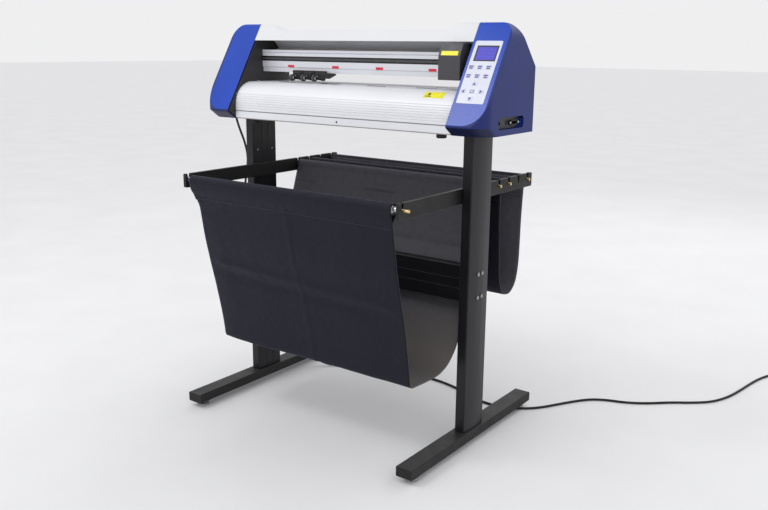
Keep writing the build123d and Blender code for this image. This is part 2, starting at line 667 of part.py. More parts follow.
def port_connectors():
    """A charcoal plate on the pocket floor with a square port, a slot and a nine-way connector."""
    floor = CAP_OUT - RECESS_DEPTH
    y0, y1, z0, z1 = PORT_POCKET
    plate = recess(y0 + 1, y1 - 1, z0 + 1, z1 - 1, floor, floor + 1.5)
    pieces = plate
    for _, y, wide, tall in PORTS:
        reach = 8 if wide > 20 else 3
        shape = block(floor - 12, floor + reach, y - wide / 2 + CLEAR, y + wide / 2 - CLEAR,
                      PORT_Z - tall / 2 + CLEAR, PORT_Z + tall / 2 - CLEAR)
        hole = block(floor - 6, floor + reach + 1, y - wide / 2 + 2, y + wide / 2 - 2,
                     PORT_Z - tall / 2 + 2, PORT_Z + tall / 2 - 2)
        pieces += shape
        pieces -= hole
    for y in (26.0 - 20, 26.0 + 20):
        pieces += rod_x(floor + 1, floor + 7, y, PORT_Z, 3)
    return pieces


def inlet_module():
    """The mains inlet and its switch frame, mirrored into the left cap's pocket."""
    floor = CAP_OUT - RECESS_DEPTH
    body = block(floor - 24, floor, 36 + CLEAR, 98 - CLEAR, INLET_Z - 13 + CLEAR, INLET_Z + 13 - CLEAR)
    body += recess(32, 100, INLET_Z - 16, INLET_Z + 16, floor, floor + 2)
    body -= block(floor - 16, floor + 3, SOCKET_Y - 12.5, SOCKET_Y + 12.5, INLET_Z - 8.5, INLET_Z + 8.5)
    for y in (-7, 0, 7):
        body += block(floor - 17, floor - 1, SOCKET_Y + y - 1, SOCKET_Y + y + 1, INLET_Z - 3, INLET_Z + 3)
    body -= block(floor - 14, floor + 3, ROCKER_Y - 6.5, ROCKER_Y + 6.5, INLET_Z - 11.3, INLET_Z + 11.3)
    body -= rocker_pin(floor - ROCKER_DEPTH, ROCKER_PIN + RUNNING, 8.2)
    return mirror(body, about=Plane.YZ)


def rocker_pin(x, radius, half):
    """The rocker's pivot pin, along Y through its middle."""
    return Pos(x, ROCKER_Y, INLET_Z) * Rot(90, 0, 0) * Cylinder(radius, 2 * half)


def power_rocker():
    """The on-off rocker on its pin."""
    pivot_x = CAP_OUT - RECESS_DEPTH - ROCKER_DEPTH
    profile = outline((-8, -4), (8, -4), (9.5, 5.5), (0, 4.2), (-9.5, 6.5))
    rocker = Pos(pivot_x, ROCKER_Y, INLET_Z) * Rot(0, 90, 0) * along_y(profile, -6.2, 6.2)
    return mirror(rocker + rocker_pin(pivot_x, ROCKER_PIN, 8), about=Plane.YZ)


def main_board():
    """The controller board in the right cap and the keypad board behind its window."""
    board = block(386, 450, 48, 50, 850, 960)
    chips = block(400, 424, 43, 48.5, 880, 904) + block(430, 442, 40, 48.5, 915, 940)
    x0, x1, s0, s1 = WINDOW
    keypad = on_face(x0 + 1, x1 - 1, s0 + 1, SCREEN[2] - 4, -5.0, -3.1)
    return group([board + chips, keypad])


def power_supply():
    """A caged supply on the chassis, behind the left end of the front panel."""
    cage = block(-330, -200, -20, 90, BODY_UNDER + 4, BODY_UNDER + 44)
    return chamfer(cage.edges().filter_by(Axis.X), 1.5)


def stepper_motors():
    """The feed motor in line with the roller, and the carriage motor under the belt's pulley."""
    feed = block(FEED_X, FEED_X + 46, ROLLER_Y - 21, ROLLER_Y + 21, ROLLER_Z - 21, ROLLER_Z + 21)
    feed = chamfer(feed.edges().filter_by(Axis.X), 4)
    feed += rod_x(FEED_X - 4, FEED_X + 1, ROLLER_Y, ROLLER_Z, 11)
    top = BELT_Z - 14
    drive = block(PULLEY_X - 21, PULLEY_X + 21, BELT_Y - 21, BELT_Y + 21, top - 34, top)
    drive = chamfer(drive.edges().filter_by(Axis.Z), 4)
    drive += rod_z(PULLEY_X, BELT_Y, top - 1, BELT_Z + 8, 2)
    return group([feed, drive])


def roller_bearings():
    """A flanged bearing in each side panel for the feed roller's ends."""
    bush = rod_x(PANEL_IN + 0.2, BEARING_X, ROLLER_Y, ROLLER_Z, BEARING_RADIUS)
    bush += rod_x(CAP_IN, BEARING_X, ROLLER_Y, ROLLER_Z, BEARING_RADIUS + 3)
    bush -= rod_x(PANEL_IN - 1, BEARING_X + 1, ROLLER_Y, ROLLER_Z, JOURNAL_RADIUS + RUNNING)
    return both_sides(bush)


# ---- drive and cutting gear ---------------------------------------------------------------
def grit_roller():
    """The feed shaft: four wide gripping zones on a slim shaft with journals."""
    shaft = rod_x(-SPAN + 1, SPAN - 1, ROLLER_Y, ROLLER_Z, 5.5)
    for x in GRIP_XS:
        zone = rod_x(x - GRIP_LENGTH / 2, x + GRIP_LENGTH / 2, ROLLER_Y, ROLLER_Z, ROLLER_RADIUS)
        shaft += chamfer(zone.edges(), 0.8)
    return shaft + rod_x(-BEARING_X - 2, FEED_X - 4 - CLEAR, ROLLER_Y, ROLLER_Z, JOURNAL_RADIUS)


def carriage_belt():
    """The toothed belt's loop in the rail's groove, round both pulleys."""
    inner = PULLEY_RADIUS + CLEAR
    loop = SlotCenterToCenter(2 * PULLEY_X, 2 * (inner + BELT_THICK)) - SlotCenterToCenter(
        2 * PULLEY_X, 2 * inner
    )
    return along_z(Pos(0, BELT_Y) * loop, BELT_Z - BELT_HEIGHT / 2, BELT_Z + BELT_HEIGHT / 2)


def belt_pulley(x):
    """A pulley with two rims for the belt, bored for its pin or shaft."""
    hub = rod_z(x, BELT_Y, BELT_Z - 4.5, BELT_Z + 4.5, PULLEY_RADIUS)
    hub += rod_z(x, BELT_Y, BELT_Z - 5.5, BELT_Z - 3.6, PULLEY_RADIUS + 2.5)
    hub += rod_z(x, BELT_Y, BELT_Z + 3.6, BELT_Z + 5.5, PULLEY_RADIUS + 2.5)
    return hub - rod_z(x, BELT_Y, BELT_Z - 7, BELT_Z + 7, 2 + RUNNING)


CARRIAGE_X0, CARRIAGE_X1 = 290.0, 352.0
CARRIAGE_FRONT = -59.0


def carriage_frame():
    """The carriage's bracket: a front plate, a tongue in the belt groove and a hook on the rail."""
    x0, x1 = CARRIAGE_X0 + 6, CARRIAGE_X1 - 6
    plate = block(x0, x1, -8, RAIL_Y - 1, 978, RAIL_TOP + 6)
    hook = block(x0, x1, -8, 34, RAIL_TOP + 1, RAIL_TOP + 6)
    tongue = block(x0 + 8, x1 - 8, RAIL_Y - 2, BELT_Y - 8, BELT_Z - 4, BELT_Z + 4)
    shelf = block(x0, x1, TOOL_Y - 9, -7, 990, 998)
    frame = plate + hook + tongue + shelf
    return frame - rod_z(TOOL_X, TOOL_Y, 980, 1000, TOOL_RADIUS + RUNNING)


def blade_holder():
    """The round tool, drawn up in its clamp: a barrel, a tapered nose and the blade's tip."""
    tip = PLATEN_TOP + TOOL_STROKE + 0.5
    tool = rod_z(TOOL_X, TOOL_Y, tip + 8, 1022, TOOL_RADIUS)
    nose = Pos(TOOL_X, TOOL_Y, tip + 5) * Cone(1.6, TOOL_RADIUS, 8)
    return tool + nose + rod_z(TOOL_X, TOOL_Y, tip, tip + 3, 0.8)


def carriage_cover():
    """The dark box over the carriage, open below and behind, with a sloping top."""
    profile = outline(
        (CARRIAGE_FRONT, 962), (-34, 962), (-34, 975), (RAIL_Y - 1.5, 975),
        (RAIL_Y - 1.5, RAIL_TOP + 2), (40, RAIL_TOP + 2), (40, 1050), (-45, 1050),
        (CARRIAGE_FRONT, 1021),
    )
    hollow = outline(
        (CARRIAGE_FRONT + 2, 950), (0, 950), (0, RAIL_TOP + 7),
        (38, RAIL_TOP + 7), (38, 1048), (-44, 1048), (CARRIAGE_FRONT + 2, 1020),
    )
    box = along_x(profile, CARRIAGE_X0, CARRIAGE_X1)
    box -= along_x(hollow, CARRIAGE_X0 + 2, CARRIAGE_X1 - 2)
    box -= block(CARRIAGE_X0 + 4, CARRIAGE_X1 - 4, -9, 36, RAIL_TOP + 0.5, RAIL_TOP + 7.5)
    return box - block(CARRIAGE_X0 + 2, CARRIAGE_X1 - 2, -9, 10, 970, RAIL_TOP + 7.5)


PINCH_XS = (-230.5, -189.5, -148.5)  # the wheels' middles
BLOCK_LEFT, BLOCK_RIGHT = 8.0, 30.0  # a slider's reach either side of its wheel's middle
ARM_PIVOT = (20.0, 948.0)
LEVER_LENGTHS = (18.0, 18.0, 66.0)  # the last unit has the long lifting lever
CHEEK_IN, CHEEK_OUT = 5.5, 7.5


def pinch_block(x):
    """A slider under the rail, with a bar in front of the rail and a pivot lug below."""
    under = RAIL_BOTTOM - 0.5
    profile = outline(
        (-6, 958), (-6, 972), (RAIL_Y - 0.5, 972), (RAIL_Y - 0.5, under),
        (SLOT_Y0 + 0.4, under), (SLOT_Y0 + 0.4, under + 7), (SLOT_Y1 - 0.4, under + 7),
        (SLOT_Y1 - 0.4, under), (36, under), (36, 958),
    )
    slider = along_x(profile, x - BLOCK_LEFT, x + BLOCK_RIGHT)
    lug = block(x - 5, x + 5, ARM_PIVOT[0] - 4.5, ARM_PIVOT[0] + 4.5, ARM_PIVOT[1], 959)
    lug += rod_x(x - 5, x + 5, *ARM_PIVOT, 4.5)
    return slider + lug - rod_x(x - 6, x + 6, *ARM_PIVOT, 2 + RUNNING)


def pinch_arm(x, lever):
    """A fork from the pivot to the wheel's axle; its right cheek carries a pointed lever."""
    dy, dz = ROLLER_Y - ARM_PIVOT[0], AXLE_Z - ARM_PIVOT[1]
    tilt = degrees(atan2(dz, dy))
    middle = ((ROLLER_Y + ARM_PIVOT[0]) / 2, (AXLE_Z + ARM_PIVOT[1]) / 2)
    cheek = Pos(*middle) * Rot(0, 0, tilt) * SlotCenterToCenter(hypot(dy, dz), 7)
    arm = along_x(cheek, x + CHEEK_IN, x + CHEEK_OUT) + along_x(cheek, x - CHEEK_OUT, x - CHEEK_IN)
    arm += rod_x(x - CHEEK_OUT, x + CHEEK_OUT, *ARM_PIVOT, 2)
    arm += rod_x(x - CHEEK_OUT, x + CHEEK_OUT, ROLLER_Y, AXLE_Z, 2)
    root, tip = x + CHEEK_IN, x + CHEEK_IN + lever
    plate = outline(
        (root, 951.5), (tip - 0.35 * lever, 951.5), (tip, 962), (tip, 965.5), (tip - 4, 966), (root, 966)
    )
    return arm + along_y(plate, -10, -7)


def pinch_wheel(x):
    """A rubber-tyred wheel on the arm's axle."""
    wheel = rod_x(x - 4.5, x + 4.5, ROLLER_Y, AXLE_Z, WHEEL_RADIUS)
    wheel = chamfer(wheel.edges(), 1)
    return wheel - rod_x(x - 6, x + 6, ROLLER_Y, AXLE_Z, 2 + RUNNING)


# ---- mains cord ---------------------------------------------------------------------------
FLOOR_Z = CORD_DIAMETER / 2 + 0.1
COIL_CENTRE = (1000.0, 1100.0)
COIL_RADII = (32.5, 47.5)
CORD_START = (-508.0, SOCKET_Y, INLET_Z)
CORD_HANGING = [
    CORD_START,
    (-526, 76, 866),
    (-542.5, 76, 858.5),
    (-554.5, 75.5, 845),
    (-560, 75, 828),
    (-558.5, 75, 810),
    (-545, 75, 779),
    (-525, 75, 741),
    (-512, 75, 700),
    (-516, 75, 655),
    (-529, 76, 610),
    (-536, 80, 555),
    (-530, 87, 495),
    (-513, 95, 430),
    (-491, 104, 362),
    (-468, 113, 296),
    (-446, 121, 232),
    (-426, 128, 172),
    (-409, 134, 122),
    (-392, 141, 84),
    (-362, 151, 60),
    (-336, 162, 48),
    (-314, 174, 24),
    (-292, 188, 8),
    (-262, 205, FLOOR_Z),
]
CORD_ON_FLOOR = [
    (-215, 233),
    (-150, 264),
    (-75, 291),
    (5, 305),
    (85, 304),
    (165, 288),
    (230, 260),
    (284, 243),
    (334, 243),
    (385, 260),
    (434, 304),
    (470, 366),
    (500, 418),
    (532, 462),
    (575, 488),
    (630, 504),
    (684, 540),
    (734, 588),
    (788, 626),
    (834, 670),
    (862, 735),
    (877, 810),
    (888, 885),
    (901, 955),
    (925, 1020),
    (948, 1062),
    (956, 1098),
]


def cord_route():
    """The tube's corners, from the connector to the coil."""
    return CORD_HANGING + [(x, y, FLOOR_Z) for x, y in CORD_ON_FLOOR]


def cord_radii(route):
    """The largest even bend at each corner: 0.45 of the shorter run over tan of half the turn."""
    radii = []
    for before, here, after in zip(route, route[1:], route[2:]):
        into, out = Vector(*here) - Vector(*before), Vector(*after) - Vector(*here)
        half_turn = radians(into.get_angle(out)) / 2
        radii.append(0.45 * min(into.length, out.length) / tan(half_turn))
    return radii


def power_cord():
    """The lead's tube, along straight runs joined by tangent arcs."""
    route = cord_route()
    radii = cord_radii(route)
    print("cord bend radii:", [round(radius) for radius in radii])
    path = FilletPolyline(*route, radius=radii)
    start = Plane(origin=path @ 0, z_dir=path % 0)
    tube = sweep(start * Circle(CORD_DIAMETER / 2), path=path)
    section = Circle(CORD_DIAMETER / 2).area
    print("cord length", round(path.length), "volume share", round(tube.volume / (section * path.length), 4))
    return tube


def cord_coil():
    """The outer form of the neat coil that holds the rest of the lead."""
    inner, outer = COIL_RADII
    ring = along_z(Pos(*COIL_CENTRE) * (Circle(outer) - Circle(inner)), 0.1, 14.7)
    return fillet(ring.edges(), 4)


def cord_connector():
    """The lead's socket end: a rectangular grip and a tapered strain relief."""
    floor = -(CAP_OUT - RECESS_DEPTH)
    grip = block(-482, floor - 2.2, SOCKET_Y - 14, SOCKET_Y + 14, INLET_Z - 9.5, INLET_Z + 9.5)
    grip = fillet(grip.edges().filter_by(Axis.X), 4)
    nose = block(floor - 3, floor + 13, SOCKET_Y - 12, SOCKET_Y + 12, INLET_Z - 8, INLET_Z + 8)
    for y in (SOCKET_Y - 7, SOCKET_Y, SOCKET_Y + 7):
        nose -= block(floor - 2, floor + 14, y - 1.4, y + 1.4, INLET_Z - 3.4, INLET_Z + 3.4)
    taper = Pos(-495, SOCKET_Y, INLET_Z) * Rot(0, -90, 0) * Cone(7, 4.4, 26)
    return grip + nose + taper


def power_plug():
    """A three-pin plug on the floor beside the coil, which it leaves along X."""
    y = COIL_CENTRE[1] + (COIL_RADII[0] + COIL_RADII[1]) / 2 + 4
    x = COIL_CENTRE[0] + 32
    z = 10.1
    plug = Pos(x + 13, y, z) * Rot(0, -90, 0) * Cone(9, 4.4, 26)
    body = fillet(Box(34, 26, 20).edges().filter_by(Axis.X), 6)
    plug += Pos(x + 42, y, z) * body
    plug += rod_x(x - 15, x + 1, y, z, CORD_DIAMETER / 2)
    for dy in (-6.3, 6.3):
        plug += block(x + 58, x + 77, y + dy - 0.8, y + dy + 0.8, z - 1, z + 5)
    return plug + rod_x(x + 58, x + 79, y, z - 5, 2.4)


# ---- all nodes ----------------------------------------------------------------------------
NODES = {
    "foot_bars": foot_bars,
    "levelling_feet": levelling_feet,
    "stand_posts": stand_posts,
    "crossbeam": crossbeam,
    "frame_bolts": frame_bolts,
    "basket_arms": basket_arms,
    "basket_rods": basket_rods,
    "rod_end_pins": rod_end_pins,
    "front_basket": front_basket,
    "rear_basket": rear_basket,
    "chassis": chassis,
    "body_feet": body_feet,
    "front_panel": front_panel,
    "platen": platen,
    "left_end_cap": left_end_cap,
    "right_end_cap": right_end_cap,
    "side_panels": side_panels,
    "top_cover": top_cover,
    "rear_cover": rear_cover,
    "rail_beam": rail_beam,
    "control_overlay": control_overlay,
    "lcd_module": lcd_module,
    "port_connectors": port_connectors,
    "inlet_module": inlet_module,
    "power_rocker": power_rocker,
    "main_board": main_board,
    "power_supply": power_supply,
    "stepper_motors": stepper_motors,
    "roller_bearings": roller_bearings,
    "grit_roller": grit_roller,
    "carriage_belt": carriage_belt,
    "drive_pulley": lambda: belt_pulley(PULLEY_X),
    "idler_pulley": lambda: belt_pulley(-PULLEY_X),
    "carriage_frame": carriage_frame,
    "carriage_cover": carriage_cover,
    "blade_holder": blade_holder,
    "power_cord": power_cord,
    "cord_coil": cord_coil,
    "cord_connector": cord_connector,
    "power_plug": power_plug,
}


def write_node(name, shape):
    """Writes one node, with the origin moved under the middle of the footprint."""
    export_step(Pos(0, -ORIGIN_Y, 0) * shape, f"parts/{name}.step")


def main():
    os.makedirs("parts", exist_ok=True)
    for name, make in NODES.items():
        write_node(name, make())
    for number, (x, lever) in enumerate(zip(PINCH_XS, LEVER_LENGTHS), start=1):
        write_node(f"pinch_block_{number}", pinch_block(x))
        write_node(f"pinch_arm_{number}", pinch_arm(x, lever))
        write_node(f"pinch_wheel_{number}", pinch_wheel(x))
    for name, place in KEYS.items():
        write_node(name, key(place))


main()
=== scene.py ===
import json
from math import atan2, cos, pi, radians, sin

import bpy
from mathutils import Matrix, Vector, noise


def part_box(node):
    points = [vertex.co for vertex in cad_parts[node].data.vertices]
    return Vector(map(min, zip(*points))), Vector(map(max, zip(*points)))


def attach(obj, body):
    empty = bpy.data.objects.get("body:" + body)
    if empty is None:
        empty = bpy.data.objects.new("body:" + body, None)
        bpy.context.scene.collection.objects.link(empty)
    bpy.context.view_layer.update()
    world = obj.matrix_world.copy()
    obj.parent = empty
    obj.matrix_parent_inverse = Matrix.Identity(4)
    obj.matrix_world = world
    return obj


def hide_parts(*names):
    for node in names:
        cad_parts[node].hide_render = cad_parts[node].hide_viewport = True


# The looks of a vinyl cutter on its floor stand, in metres, over the CAD frame.
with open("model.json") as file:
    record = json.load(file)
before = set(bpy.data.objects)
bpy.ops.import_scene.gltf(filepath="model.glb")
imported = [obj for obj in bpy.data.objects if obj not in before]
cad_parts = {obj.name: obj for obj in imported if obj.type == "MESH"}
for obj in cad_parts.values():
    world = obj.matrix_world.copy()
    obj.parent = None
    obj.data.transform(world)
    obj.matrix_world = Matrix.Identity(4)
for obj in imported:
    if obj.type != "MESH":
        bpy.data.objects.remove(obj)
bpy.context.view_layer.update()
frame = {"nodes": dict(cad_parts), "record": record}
ROOT = "stand"
MM = 0.001

# ---- dimensions shared with the CAD -------------------------------------------------------
FACE_ORIGIN = Vector((0, -0.113, 0.919))  # the caps' leaning front face
FACE_LEAN = atan2(82, 136)
FACE_OUT = Vector((0, -cos(FACE_LEAN), sin(FACE_LEAN)))
FACE_UP = Vector((0, sin(FACE_LEAN), cos(FACE_LEAN)))
NOSE_CENTRE = Vector((0, -0.054, 0.873))  # the front panel's nose, round about X
NOSE_RADIUS = 0.065
LIP_TOP = 0.8573  # the notch between the nose and the lip below it
ROD_Z = 0.680
ROD_RADIUS = 0.0125
ROD_YS = (-0.311, 0.137, 0.191, 0.300)
CLOTH_HALF = 0.346  # half width of both baskets
CLOTH = 0.0014
CORD_DIAMETER = 0.007
FILM_WHITE = (0.70, 0.73, 0.84)  # the keypad's printed sheet and its keys


# ---- camera, floor and light --------------------------------------------------------------
CAMERA_PLACE = (1.4567, -1.8667, 1.0445)
CAMERA_TURNS = (36.352, 13.828, 0.545)  # yaw to the left, pitch down and roll, in degrees
FLOOR_REACH = 40


def add_camera():
    """The viewpoint: a little above the machine, from the operator's right."""
    yaw, pitch, roll = [radians(turn) for turn in CAMERA_TURNS]
    forward = Vector((-sin(yaw) * cos(pitch), cos(yaw) * cos(pitch), -sin(pitch)))
    level = Vector((cos(yaw), sin(yaw), 0))
    above = level.cross(forward)
    right = cos(roll) * level + sin(roll) * above
    up = cos(roll) * above - sin(roll) * level
    camera = bpy.data.objects.new("camera", bpy.data.cameras.new("camera"))
    camera.data.sensor_width = 36
    camera.data.lens = 40.01
    place = Matrix((right, up, -forward)).transposed().to_4x4()
    place.translation = CAMERA_PLACE
    camera.matrix_world = place
    bpy.context.scene.collection.objects.link(camera)
    bpy.context.scene.camera = camera


def add_light(name, place, target, size, power):
    """A soft square light that faces a point."""
    light = bpy.data.lights.new(name, "AREA")
    light.shape = "SQUARE"
    light.size = size
    light.energy = power
    lamp = bpy.data.objects.new(name, light)
    lamp.location = place
    lamp.rotation_euler = (Vector(target) - Vector(place)).to_track_quat("-Z", "Y").to_euler()
    bpy.context.scene.collection.objects.link(lamp)


def add_studio():
    """A plain pale floor under even soft light."""
    bpy.context.scene.view_settings.view_transform = "Standard"
    world = bpy.data.worlds.new("studio")
    world.use_nodes = True
    world.node_tree.nodes["Background"].inputs["Color"].default_value = (0.93, 0.93, 0.94, 1)
    world.node_tree.nodes["Background"].inputs["Strength"].default_value = 0.93
    bpy.context.scene.world = world
    add_light("ceiling_light", (-1.5, -2.0, 3.4), (0, 0, 0.9), 0.9, 20)
    add_light("front_light", (-0.6, -3.6, 2.3), (0, 0, 0.8), 1.6, 8)
    add_light("rear_light", (0.6, 3.2, 2.4), (0, 0, 0.6), 1.8, 14)
    signs = ((-1, -1), (1, -1), (1, 1), (-1, 1))
    corners = [(x * FLOOR_REACH, y * FLOOR_REACH, 0) for x, y in signs]
    floor = plain_mesh("floor", corners, [(0, 1, 2, 3)], floor_material(), smooth=False)


# ---- shader helpers -----------------------------------------------------------------------
def node(tree, kind, values=None, **properties):
    """A new shader node with its input values and properties."""
    new = tree.nodes.new("ShaderNode" + kind)
    for name, value in properties.items():
        setattr(new, name, value)
    for socket, value in (values or {}).items():
        new.inputs[socket].default_value = value
    return new


def new_material(name, colour, roughness, **shader_values):
    """A material, its node tree and its principled shader."""
    material = bpy.data.materials.new(name)
    material.use_nodes = True
    tree = material.node_tree
    shader = tree.nodes["Principled BSDF"]
    shader.inputs["Base Color"].default_value = (*colour, 1)
    shader.inputs["Roughness"].default_value = roughness
    for socket, value in shader_values.items():
        shader.inputs[socket.replace("_", " ")].default_value = value
    return material, tree, shader


def place_vector(tree, stretch=(1, 1, 1)):
    """Position on the piece, stretched along some axes."""
    coordinates = node(tree, "TexCoord")
    mapping = node(tree, "Mapping", {"Scale": stretch})
    tree.links.new(coordinates.outputs["Object"], mapping.inputs["Vector"])
    return mapping.outputs["Vector"]


def noise_at(tree, vector, scale, detail=3.0):
    """A soft noise between 0 and 1."""
    texture = node(tree, "TexNoise", {"Scale": scale, "Detail": detail})
    tree.links.new(vector, texture.inputs["Vector"])
    return texture.outputs["Fac"]


def spread(tree, value, low, high, start=0.3, end=0.7):
    """A value from start to end, turned into one from low to high."""
    ranged = node(tree, "MapRange", {"From Min": start, "From Max": end, "To Min": low, "To Max": high})
    tree.links.new(value, ranged.inputs["Value"])
    return ranged.outputs["Result"]


def mix(tree, factor, first, second):
    """The first colour where factor is 0 and the second where it is 1; either may be a socket."""
    mixed = node(tree, "MixRGB")
    tree.links.new(factor, mixed.inputs["Fac"])
    for socket, colour in (("Color1", first), ("Color2", second)):
        if isinstance(colour, tuple):
            mixed.inputs[socket].default_value = (*colour, 1)
        else:
            tree.links.new(colour, mixed.inputs[socket])
    return mixed.outputs["Color"]


def calculate(tree, operation, first, second):
    """One sum on two numbers or sockets."""
    sum_node = node(tree, "Math", operation=operation)
    for index, term in enumerate((first, second)):
        if isinstance(term, (int, float)):
            sum_node.inputs[index].default_value = term
        else:
            tree.links.new(term, sum_node.inputs[index])
    return sum_node.outputs["Value"]


def node_abs(tree, value):
    """The size of a number, without its sign."""
    return calculate(tree, "ABSOLUTE", value, 0)


def hypotenuse(tree, first, second):
    """The length of the slope whose two legs are given."""
    squares = [calculate(tree, "MULTIPLY", leg, leg) for leg in (first, second)]
    return calculate(tree, "SQRT", calculate(tree, "ADD", *squares), 0)


def normal_height(tree):
    """How far a surface faces up: 1 on top, 0 on walls, -1 underneath."""
    geometry = node(tree, "NewGeometry")
    split = node(tree, "SeparateXYZ")
    tree.links.new(geometry.outputs["Normal"], split.inputs[0])
    return split.outputs["Z"]


def shade(colour, amount):
    """The colour made darker or lighter."""
    return tuple(min(1.0, channel * amount) for channel in colour)


def mottle(tree, shader, colour, scale, amount=0.12):
    """Slight unevenness of the colour."""
    vector = place_vector(tree)
    factor = spread(tree, noise_at(tree, vector, scale), 0, 1)
    uneven = mix(tree, factor, shade(colour, 1 - amount), shade(colour, 1 + amount))
    tree.links.new(uneven, shader.inputs["Base Color"])
    return uneven


def vary_roughness(tree, shader, low, high, scale, stretch=(1, 1, 1)):
    """Patches that are a little duller or shinier."""
    value = noise_at(tree, place_vector(tree, stretch), scale, 5)
    tree.links.new(spread(tree, value, low, high), shader.inputs["Roughness"])


def bump(tree, shader, height, strength, distance, edge=0.0):
    """A fine relief, over edges that are slightly rounded."""
    relief = node(tree, "Bump", {"Strength": strength, "Distance": distance})
    tree.links.new(height, relief.inputs["Height"])
    if edge:
        bevel = node(tree, "Bevel", {"Radius": edge}, samples=4)
        tree.links.new(bevel.outputs["Normal"], relief.inputs["Normal"])
    tree.links.new(relief.outputs["Normal"], shader.inputs["Normal"])


def edge_mask(tree, radius):
    """About 1 on sharp outer edges and 0 on flat faces."""
    bevel = node(tree, "Bevel", {"Radius": radius}, samples=4)
    geometry = node(tree, "NewGeometry")
    compare = node(tree, "VectorMath", operation="DOT_PRODUCT")
    tree.links.new(bevel.outputs["Normal"], compare.inputs[0])
    tree.links.new(geometry.outputs["Normal"], compare.inputs[1])
    return spread(tree, compare.outputs["Value"], 1, 0, 0.9, 0.995)


def along(tree, direction, origin=(0, 0, 0)):
    """Distance from origin along a direction, as a socket."""
    coordinates = node(tree, "TexCoord")
    offset = node(tree, "VectorMath", {1: tuple(origin)}, operation="SUBTRACT")
    dot = node(tree, "VectorMath", {1: tuple(direction)}, operation="DOT_PRODUCT")
    tree.links.new(coordinates.outputs["Object"], offset.inputs[0])
    tree.links.new(offset.outputs["Vector"], dot.inputs[0])
    return dot.outputs["Value"]


# ---- materials ----------------------------------------------------------------------------
def floor_material():
    """Pale matt floor with a very faint grain."""
    pale = (0.88, 0.88, 0.89)
    material, tree, shader = new_material("floor_pale", pale, 0.85)
    mottle(tree, shader, pale, 3.0, 0.02)
    bump(tree, shader, noise_at(tree, place_vector(tree), 260.0), 0.2, 0.0006)
    return material


def powder_coat(name, colour, low=0.42, high=0.58):
    """Satin paint on metal: orange peel, a dusty pale on what faces up, and lighter edges that are partly
    rubbing wear and partly painted highlight.
    """
    material, tree, shader = new_material(name, colour, 0.45, Specular_IOR_Level=0.3)
    uneven = mottle(tree, shader, colour, 14.0, 0.15)
    settled = calculate(tree, "MULTIPLY", spread(tree, normal_height(tree), 0, 1, 0.9, 0.98), 0.35)
    dusty = mix(tree, settled, uneven, shade(tuple(c + 0.05 for c in colour), 1.2))
    # Sharp edges are lightened: partly rubbing wear, partly a painted highlight along the lit top edges.
    wear_and_painted_highlight = calculate(tree, "MULTIPLY", edge_mask(tree, 0.0011), 0.7)
    rubbed_and_highlit = mix(tree, wear_and_painted_highlight, dusty, shade(tuple(c + 0.08 for c in colour), 1.5))
    tree.links.new(rubbed_and_highlit, shader.inputs["Base Color"])
    vary_roughness(tree, shader, low, high, 22.0)
    bump(tree, shader, noise_at(tree, place_vector(tree), 1400.0), 0.12, 0.0002, 0.0008)
    return material


def drawn_black(name, colour):
    """Black anodised extrusion with faint die lines along its length, and lighter edges that are partly wear
    and partly painted highlight.
    """
    material, tree, shader = new_material(name, colour, 0.38, Specular_IOR_Level=0.35)
    uneven = mottle(tree, shader, colour, 9.0, 0.2)
    # Sharp edges and groove edges are lightened: partly wear, partly a painted highlight.
    wear_and_painted_highlight = calculate(tree, "MULTIPLY", edge_mask(tree, 0.0012), 0.6)
    tree.links.new(mix(tree, wear_and_painted_highlight, uneven, (0.085, 0.085, 0.095)), shader.inputs["Base Color"])
    lines = noise_at(tree, place_vector(tree, (900, 900, 4)), 1.0, 2)
    tree.links.new(spread(tree, lines, 0.3, 0.46), shader.inputs["Roughness"])
    bump(tree, shader, lines, 0.1, 0.0002, 0.0006)
    return material


def brushed(name, colour, roughness, stretch=(6, 700, 700), metallic=1.0):
    """Bare metal with brushing or turning lines."""
    material, tree, shader = new_material(name, colour, roughness, Metallic=metallic)
    mottle(tree, shader, colour, 30.0, 0.08)
    lines = noise_at(tree, place_vector(tree, stretch), 1.0, 3)
    tree.links.new(spread(tree, lines, roughness - 0.07, roughness + 0.1), shader.inputs["Roughness"])
    bump(tree, shader, lines, 0.15, 0.0002, 0.0004)
    return material


def anodised(name, colour, roughness, metallic):
    """Satin aluminium extrusion, drawn along X."""
    material, tree, shader = new_material(name, colour, roughness, Metallic=metallic)
    uneven = mottle(tree, shader, colour, 5.0, 0.03)
    lines = noise_at(tree, place_vector(tree, (2, 1500, 1500)), 1.0, 2)
    tree.links.new(spread(tree, lines, roughness - 0.05, roughness + 0.06), shader.inputs["Roughness"])
    bump(tree, shader, lines, 0.02, 0.0001, 0.0005)
    return material, tree, shader, uneven


def nose_finish():
    """The front panel: white satin aluminium, with painted shade in its fine grooves and along the lip's
    notch.
    """
    white = (0.84, 0.85, 0.89)
    material, tree, shader, uneven = anodised("nose_white", white, 0.38, 0.05)
    forward = along(tree, (0, 1, 0), NOSE_CENTRE)
    upward = along(tree, (0, 0, 1), NOSE_CENTRE)
    reach = hypotenuse(tree, forward, upward)
    sunk = spread(tree, reach, 1, 0, NOSE_RADIUS - 0.0009, NOSE_RADIUS - 0.0002)
    front = spread(tree, forward, 1, 0, -0.03, -0.02)
    groove = calculate(tree, "MULTIPLY", calculate(tree, "MULTIPLY", sunk, front), 0.1)
    height = along(tree, (0, 0, 1), (0, 0, LIP_TOP))
    notch = spread(tree, node_abs(tree, height), 1, 0, 0.0010, 0.0016)
    # Painted shade: the fine grooves and the lip's notch are darkened where shade falls.
    painted_shade = calculate(tree, "MAXIMUM", groove, calculate(tree, "MULTIPLY", notch, 0.7))
    tree.links.new(mix(tree, painted_shade, uneven, (0.10, 0.10, 0.12)), shader.inputs["Base Color"])
    return material


